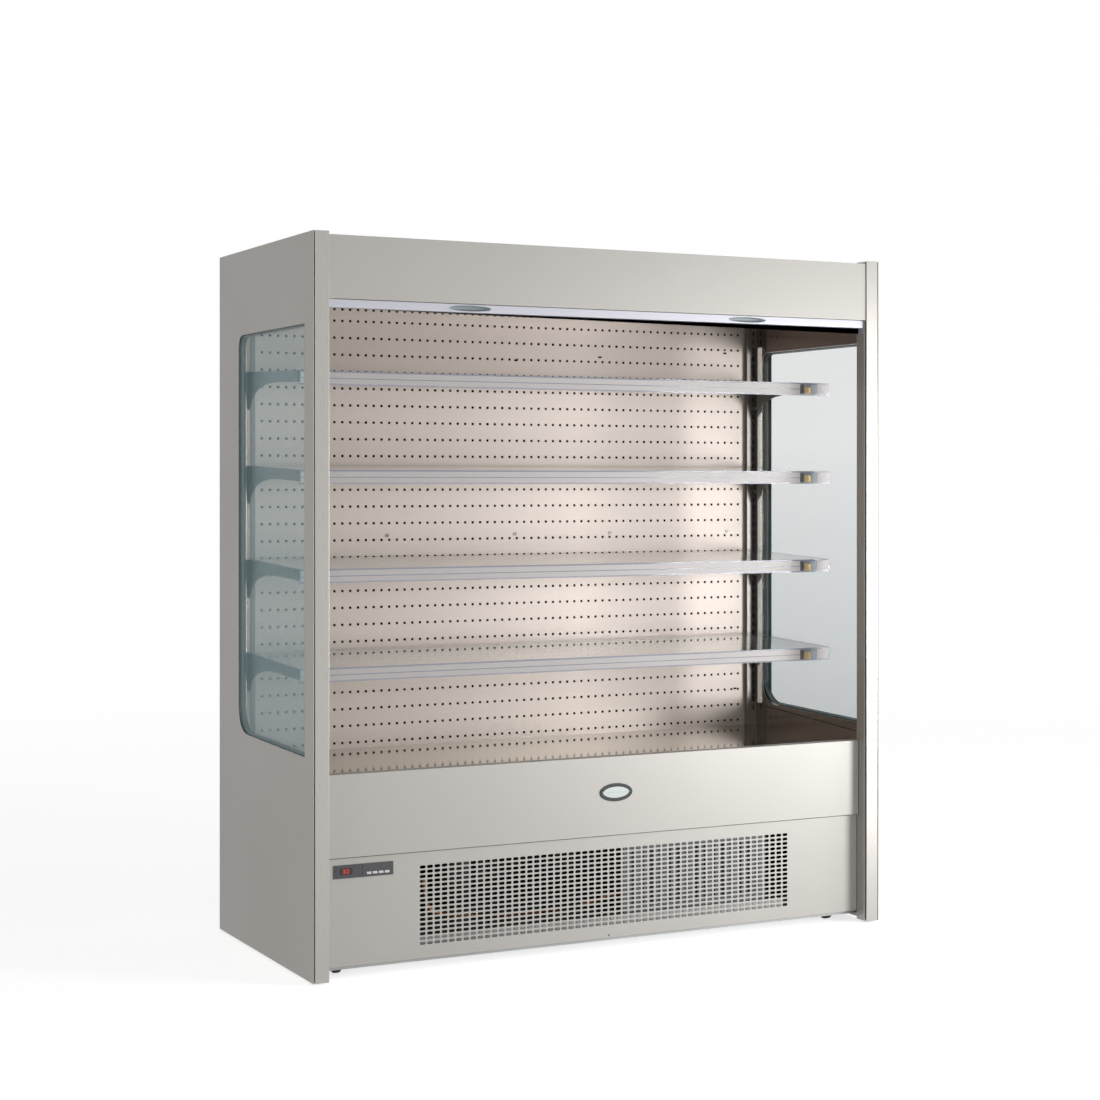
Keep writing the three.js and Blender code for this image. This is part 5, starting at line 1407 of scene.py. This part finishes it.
@dataclass
class Well:
    """Back screen, uprights, deck, return grille and tub."""

    palette: Palette
    sheet: float = 0.0015
    hole_size: Span = (0.0076, 0.0070)
    hole_pitch: Span = (0.025, 0.050)
    hole_counts: tuple[int, int] = (66, 26)
    hole_middle: Span = (0.0, 1.172)
    top_row: float = 1.831
    fixing_columns: tuple[float, ...] = (-0.419, 0.006, 0.339, 0.771)
    fixing_drop: float = 0.012
    keyholes: tuple[Span, ...] = ((0.009, 1.695), (0.303, 1.712), (0.763, 1.737), (0.801, 0.649))
    keyhole_half: Span = (0.006, 0.0028)
    duct_shade_depths: Span = (0.012, 0.018)
    duct_shade_rise: float = 0.02
    play: float = 0.002
    slot_size: Span = (0.005, 0.015)
    slot_pitch: Span = (0.02, 0.027)
    slot_column: float = 0.8615
    slot_anchor: float = 0.803
    slot_heights: Span = (0.565, 0.03)
    upright_sheet: float = 0.0018
    shade_block_depth: float = 0.020
    shade_block_margin: float = 0.003

    def back_screen(self) -> None:
        """Makes the perforated back panel, with one more row of holes at its top."""
        low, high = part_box("perforated_panel")
        piece = PunchedSheet(
            "back_screen_punched", HoleShape.SQUARE, self.hole_size, self.hole_pitch, self.hole_counts,
            self.hole_middle, low.y, (low.x, high.x, low.z, high.z), self.sheet,
        ).make()
        pitch, count = self.hole_pitch[0], self.hole_counts[0]
        first = self.hole_middle[0] - pitch * (count - 1) / 2
        half_x, half_z = self.hole_size[0] / 2, self.hole_size[1] / 2
        cutter = block(
            "cutter", (first - half_x, low.y - 0.003, self.top_row - half_z),
            (first + half_x, low.y + 0.004, self.top_row + half_z),
        )
        repeat(cutter, count, (pitch, 0, 0))
        cut(piece, cutter)
        finish(piece, self.palette.backing, "stainless", "perforated_panel")

    def screen_fittings(self) -> None:
        """Makes the back panel's screws and side folds, dark keyhole marks that paint the shade inside the
        keyholes, and a black sheet behind the panel that paints the shade of the duct.
        """
        low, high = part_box("perforated_panel")
        height = self.hole_middle[1] - self.fixing_drop
        fixings = [(x, low.y, height) for x in self.fixing_columns]
        Screws("back_screen_screws", fixings, (0, -1, 0), 0.0055, 0.002).make(self.palette)
        fold = Trim(self.palette.backing, "stainless", 0.0003)
        for word, sign in SIDES.items():
            xs = sorted((sign * high.x, sign * (high.x - self.sheet)))
            fold.fit(f"back_screen_fold_{word}", (xs[0], low.y + 0.0016, low.z), (xs[1], high.y, high.z))
        # Dark keyhole marks: painted shade inside the keyholes.
        (x, z), (half_x, half_z) = self.keyholes[0], self.keyhole_half
        front, back = low.y - 0.0004, low.y + 0.0003
        mark = block("keyhole", (x - half_x, front, z - half_z), (x + half_x, back, z + half_z), 0.0003)
        copies = [copy_at(mark, (other_x - x, 0, other_z - z)) for other_x, other_z in self.keyholes[1:]]
        keyholes = join("back_screen_keyholes", mark, *copies)
        finish(keyholes, self.palette.hollow_shade, "black_plastic")
        # A black sheet behind the back screen: painted shade of the duct, seen through the holes.
        near, far = (low.y + depth for depth in self.duct_shade_depths)
        Trim(self.palette.hollow_shade, "black_plastic", 0.001).fit(
            "duct_painted_shade", (low.x + self.play, near, low.z + self.duct_shade_rise),
            (high.x - self.play, far, high.z - self.play),
        )

    def upright(self, word: str, sign: float) -> None:
        """Makes one upright with its whole row of hook slots, and a black block inside it that paints the
        shade seen through the slots.

        Args:
            word: left or right.
            sign: -1 on the left, 1 on the right.
        """
        low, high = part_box(f"upright_{word}")
        pitch = self.slot_pitch[1]
        lowest, top_margin = self.slot_heights
        first = math.ceil((lowest - self.slot_anchor) / pitch)
        last = math.floor((high.z - top_margin - self.slot_anchor) / pitch)
        middle = (sign * self.slot_column, self.slot_anchor + (first + last) / 2 * pitch)
        counts = (1, last - first + 1)
        piece = PunchedSheet(
            f"upright_{word}_slotted", HoleShape.SQUARE, self.slot_size, self.slot_pitch, counts,
            middle, low.y, (low.x, high.x, low.z, high.z), self.upright_sheet, high.y - low.y,
        ).make()
        finish(piece, self.palette.upright, "stainless", f"upright_{word}")
        # A black block inside the upright: painted shade behind the hook slots.
        margin = self.shade_block_margin
        Trim(self.palette.hollow_shade, "black_plastic", 0.0005).fit(
            f"upright_{word}_slot_shade", (low.x + margin, low.y + self.shade_block_depth, low.z + margin),
            (high.x - margin, high.y - self.play, high.z - margin),
        )

    def build(self) -> None:
        """Builds and dresses the well."""
        self.back_screen()
        self.screen_fittings()
        for word, sign in SIDES.items():
            self.upright(word, sign)
        Dressing(self.palette.deck, "stainless", 0.0008).dress("deck_plate")
        Dressing(self.palette.deck, "stainless", 0.0005).dress("return_grille")
        Dressing(self.palette.galvanised, "galvanised", 0.0015).dress("well_tub")


@dataclass
class Shelves:
    """Four glass shelves on bracket frames, with ticket rails."""

    palette: Palette
    tilt: float = math.radians(2)
    frame_half: float = 0.8595
    rail_play: float = 0.00009
    left_end: float = -0.861
    strip_end: float = 0.752
    strips: tuple[Span, ...] = ((-0.0190, -0.0042), (-0.0345, -0.0212))
    clip: tuple[float, ...] = (0.753, 0.766, -0.0340, -0.0060, 0.0012)
    # Painted glint: a brass-coloured block that stands for a warm glint at the rail's right end.
    glint_block: tuple[float, ...] = (0.768, 0.790, -0.0335, -0.0130, 0.0012)
    pad: tuple[float, ...] = (0.790, 0.812, -0.0340, -0.0060, 0.0012)
    cap: tuple[float, ...] = (0.813, 0.861, -0.0350, -0.0035, 0.0010)
    cap_slant: float = 0.012
    sunk: float = 0.0001

    def tilted(self, piece: bpy.types.Object, number: int) -> bpy.types.Object:
        """Turns a piece made level at a shelf's rail to the shelf's slope.

        Args:
            piece: the level piece.
            number: the shelf's number.

        Returns:
            The same piece.
        """
        low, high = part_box(f"shelf_{number}_ticket_rail")
        pivot = (0, low.y, high.z - self.rail_play)
        with editing(piece, "VERT", "SELECT"):
            bpy.ops.transform.rotate(value=-self.tilt, orient_axis="X", center_override=pivot)
        return piece

    def fitting(self, name: str, number: int, sizes: tuple[float, ...], bevel: float) -> bpy.types.Object:
        """Makes a level block on a rail's face.

        Args:
            name: the block's name.
            number: the shelf's number.
            sizes: its left and right ends, its bottom and top measured from the rail's
                top, and how proud it is.
            bevel: the width of its rounding.

        Returns:
            The block.
        """
        low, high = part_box(f"shelf_{number}_ticket_rail")
        left, right, bottom, upper, proud = sizes
        top = high.z - self.rail_play
        return block(
            name, (left, low.y - proud, top + bottom), (right, low.y - self.sunk, top + upper), bevel,
            1 if bevel < 0.0002 else 2,
        )

    def rail_trim(self, number: int) -> None:
        """Makes one rail's ticket strips and the fittings at its right end, one of them a brass-coloured
        block that paints a warm glint.

        Args:
            number: the shelf's number.
        """
        strips = [
            self.fitting("strip", number, (self.left_end, self.strip_end, bottom, upper, 0.0006), 0.0001)
            for bottom, upper in self.strips
        ]
        pieces = [
            (join(f"ticket_strip_{number}", *strips), self.palette.strip),
            (self.fitting(f"rail_clip_{number}", number, self.clip, 0.0005), self.palette.smoked),
            (self.fitting(f"rail_glint_{number}", number, self.glint_block, 0.0005), self.palette.painted_glint),
            (self.fitting(f"rail_pad_{number}", number, self.pad, 0.0005), self.palette.scoop),
            (self.fitting(f"rail_cap_{number}", number, self.cap, 0.0004), self.palette.strip),
        ]
        _left, end, bottom, _upper, _proud = self.cap
        rail_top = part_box(f"shelf_{number}_ticket_rail")[1].z
        move_corners(
            pieces[-1][0], lambda co: co.x > end - 0.002 and co.z < rail_top - 0.02, (-self.cap_slant, 0, 0)
        )
        for piece, material in pieces:
            coat(piece, material)
            hand_over(self.tilted(piece, number), "clear_plastic")

    def build(self) -> None:
        """Builds and dresses the shelves."""
        for number in range(1, 5):
            bracket = eased_copy(f"shelf_{number}_frame", 0.0006)
            two_tone(
                bracket, self.palette.shelf, self.palette.backing,
                lambda middle, _normal: abs(middle.x) < self.frame_half,
            )
            hand_over(bracket, "shelf_steel", f"shelf_{number}_frame")
            plate = eased_copy(f"shelf_{number}_glass", 0.0012, 3)
            two_tone(
                plate, self.palette.shelf_glass, self.palette.glass_edge,
                lambda _middle, normal: abs(normal.z) < 0.5,
            )
            hand_over(plate, "glass", f"shelf_{number}_glass")
            Dressing(self.palette.clear, "clear_plastic", 0.0005).dress(f"shelf_{number}_ticket_rail")
            self.rail_trim(number)


@dataclass
class Base:
    """Pan and castors."""

    palette: Palette

    def build(self) -> None:
        """Dresses the base and its castors."""
        zinc, tyre, black = self.palette.zinc, self.palette.tyre, self.palette.black
        Dressing(self.palette.galvanised, "galvanised", 0.0008).dress("base_pan")
        for word in SIDES:
            Dressing(zinc, "zinc", 0.0005, f"castor_{word}").dress(f"castor_fork_{word}")
            for end in ("front", "rear"):
                Dressing(tyre, "tyre", 0.0008, f"{end}_wheel_{word}").dress(f"castor_wheel_{end}_{word}")
            pedal = Dressing(black, "black_plastic", 0.0005, f"brake_pedal_{word}")
            pedal.dress(f"castor_brake_pedal_{word}")


@dataclass
class MachineRoom:
    """Compressor, coils, fans, pipework, tray and electrical box."""

    palette: Palette

    def build(self) -> None:
        """Dresses the machinery."""
        enamel, fins, black = self.palette.enamel, self.palette.fins, self.palette.black
        Dressing(enamel, "black_enamel", 0.002).dress("compressor")
        Dressing(fins, "fin_aluminium", 0.0006).dress("condenser")
        Dressing(enamel, "black_enamel", 0.001).dress("condenser_fan_motor")
        Dressing(black, "black_plastic", 0.0004, "condenser_fan").dress("condenser_fan_blade")
        Dressing(black, "black_plastic", 0.0008).dress("drain_tray")
        Dressing(self.palette.galvanised, "galvanised", 0.001).dress("electrical_box")
        Dressing(self.palette.copper, "copper", 0.0).dress("pipework")
        Dressing(fins, "fin_aluminium", 0.0006).dress("evaporator")
        for word in SIDES:
            blade = Dressing(black, "black_plastic", 0.0004, f"evaporator_fan_{word}")
            blade.dress(f"evaporator_fan_blade_{word}")


# ---------------------------------------------------------------------------
# Studio
# ---------------------------------------------------------------------------


@dataclass(frozen=True)
class Lamp:
    """A soft square lamp."""

    name: str
    place: Place
    aim: Place
    size: float
    power: float

    def hang(self) -> None:
        """Hangs the lamp at its place and aims it."""
        data = bpy.data.lights.new(self.name, "AREA")
        data.shape = "SQUARE"
        data.size = self.size
        data.energy = self.power
        lamp = bpy.data.objects.new(self.name, data)
        lamp.location = self.place
        lamp.rotation_euler = (Vector(self.aim) - Vector(self.place)).to_track_quat("-Z", "Y").to_euler()
        bpy.context.scene.collection.objects.link(lamp)


@dataclass
class Studio:
    """Pale floor, soft lamps, plain world and the camera."""

    image_size: float = 1100.0
    focal_pixels: float = 2130.0
    horizon_pixel: float = 481.35
    sensor: float = 36.0
    yaw: float = math.radians(26.918)
    camera_place: Place = (-2.8696, -5.6362, 1.3219)
    world_light: float = 0.27
    floor_size: float = 60.0
    floor_lift: Span = (0.70, 0.80)
    lift_distances: Span = (2.0, 9.0)
    lamps: list[Lamp] = field(default_factory=lambda: [
        Lamp("key", (2.75, -3.25, 0.95), (0.3, -0.3, 0.8), 1.3, 90.0),
        Lamp("side", (3.6, -1.3, 1.3), (0.3, 0.1, 1.1), 1.2, 32.0),
        Lamp("front", (-3.0, -5.6, 2.5), (0.1, 0.0, 1.0), 1.6, 25.0),
        Lamp("left", (-4.2, -1.6, 1.5), (0.3, 0.1, 1.2), 1.4, 9.0),
    ])

    def camera(self) -> None:
        """Puts the camera at the photograph's place and angle."""
        data = bpy.data.cameras.new("camera")
        data.sensor_width = self.sensor
        data.lens = self.sensor * self.focal_pixels / self.image_size
        data.shift_y = (self.horizon_pixel - self.image_size / 2) / self.image_size
        data.clip_end = 200.0
        camera = bpy.data.objects.new("camera", data)
        camera.location = self.camera_place
        camera.rotation_euler = (math.pi / 2, 0.0, -self.yaw)
        bpy.context.scene.collection.objects.link(camera)
        bpy.context.scene.camera = camera

    def world(self) -> None:
        """Makes the white surroundings, which light at a plain level."""
        graph = Graph(bpy.data.worlds.new("studio"), "Background")
        graph.fix(Color=(1, 1, 1, 1))
        graph.feed("Strength", graph.remap(graph.seen(), 0.0, 1.0, self.world_light, 1.0))
        bpy.context.scene.world = graph.owner

    def floor(self) -> None:
        """Lays the pale floor, which is a little brighter further away."""
        clear_selection()
        bpy.ops.mesh.primitive_plane_add(size=self.floor_size, location=(0, 0, 0))
        floor = bpy.context.object
        floor.name = "studio_floor"
        graph = Graph(bpy.data.materials.new("studio_floor"))
        graph.fix(Base_Color=(0.8, 0.8, 0.8, 1), Roughness=0.9)
        graph.fix(Emission_Color=(1, 1, 1, 1), Specular_IOR_Level=0.0)
        distance = graph.nodes.new("ShaderNodeVectorMath")
        distance.operation = "LENGTH"
        graph.links.new(graph.place(), distance.inputs[0])
        lift = graph.remap(distance.outputs["Value"], *self.lift_distances, *self.floor_lift)
        graph.feed("Emission Strength", graph.maths("MULTIPLY", lift, graph.seen()))
        coat(floor, graph.owner)

    def build(self) -> None:
        """Builds the studio."""
        self.camera()
        self.world()
        self.floor()
        for lamp in self.lamps:
            lamp.hang()
        bpy.context.scene.view_settings.view_transform = "Standard"


def main() -> None:
    """Builds the studio and every sub-assembly."""
    logging.basicConfig(level=logging.INFO, format="%(name)s: %(message)s")
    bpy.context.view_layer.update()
    Studio().build()
    palette = Palette()
    for part in (Shell, Canopy, Front, Well, Shelves, Base, MachineRoom):
        part(palette).build()
    clear_selection()


if __name__ == "__main__":
    main()
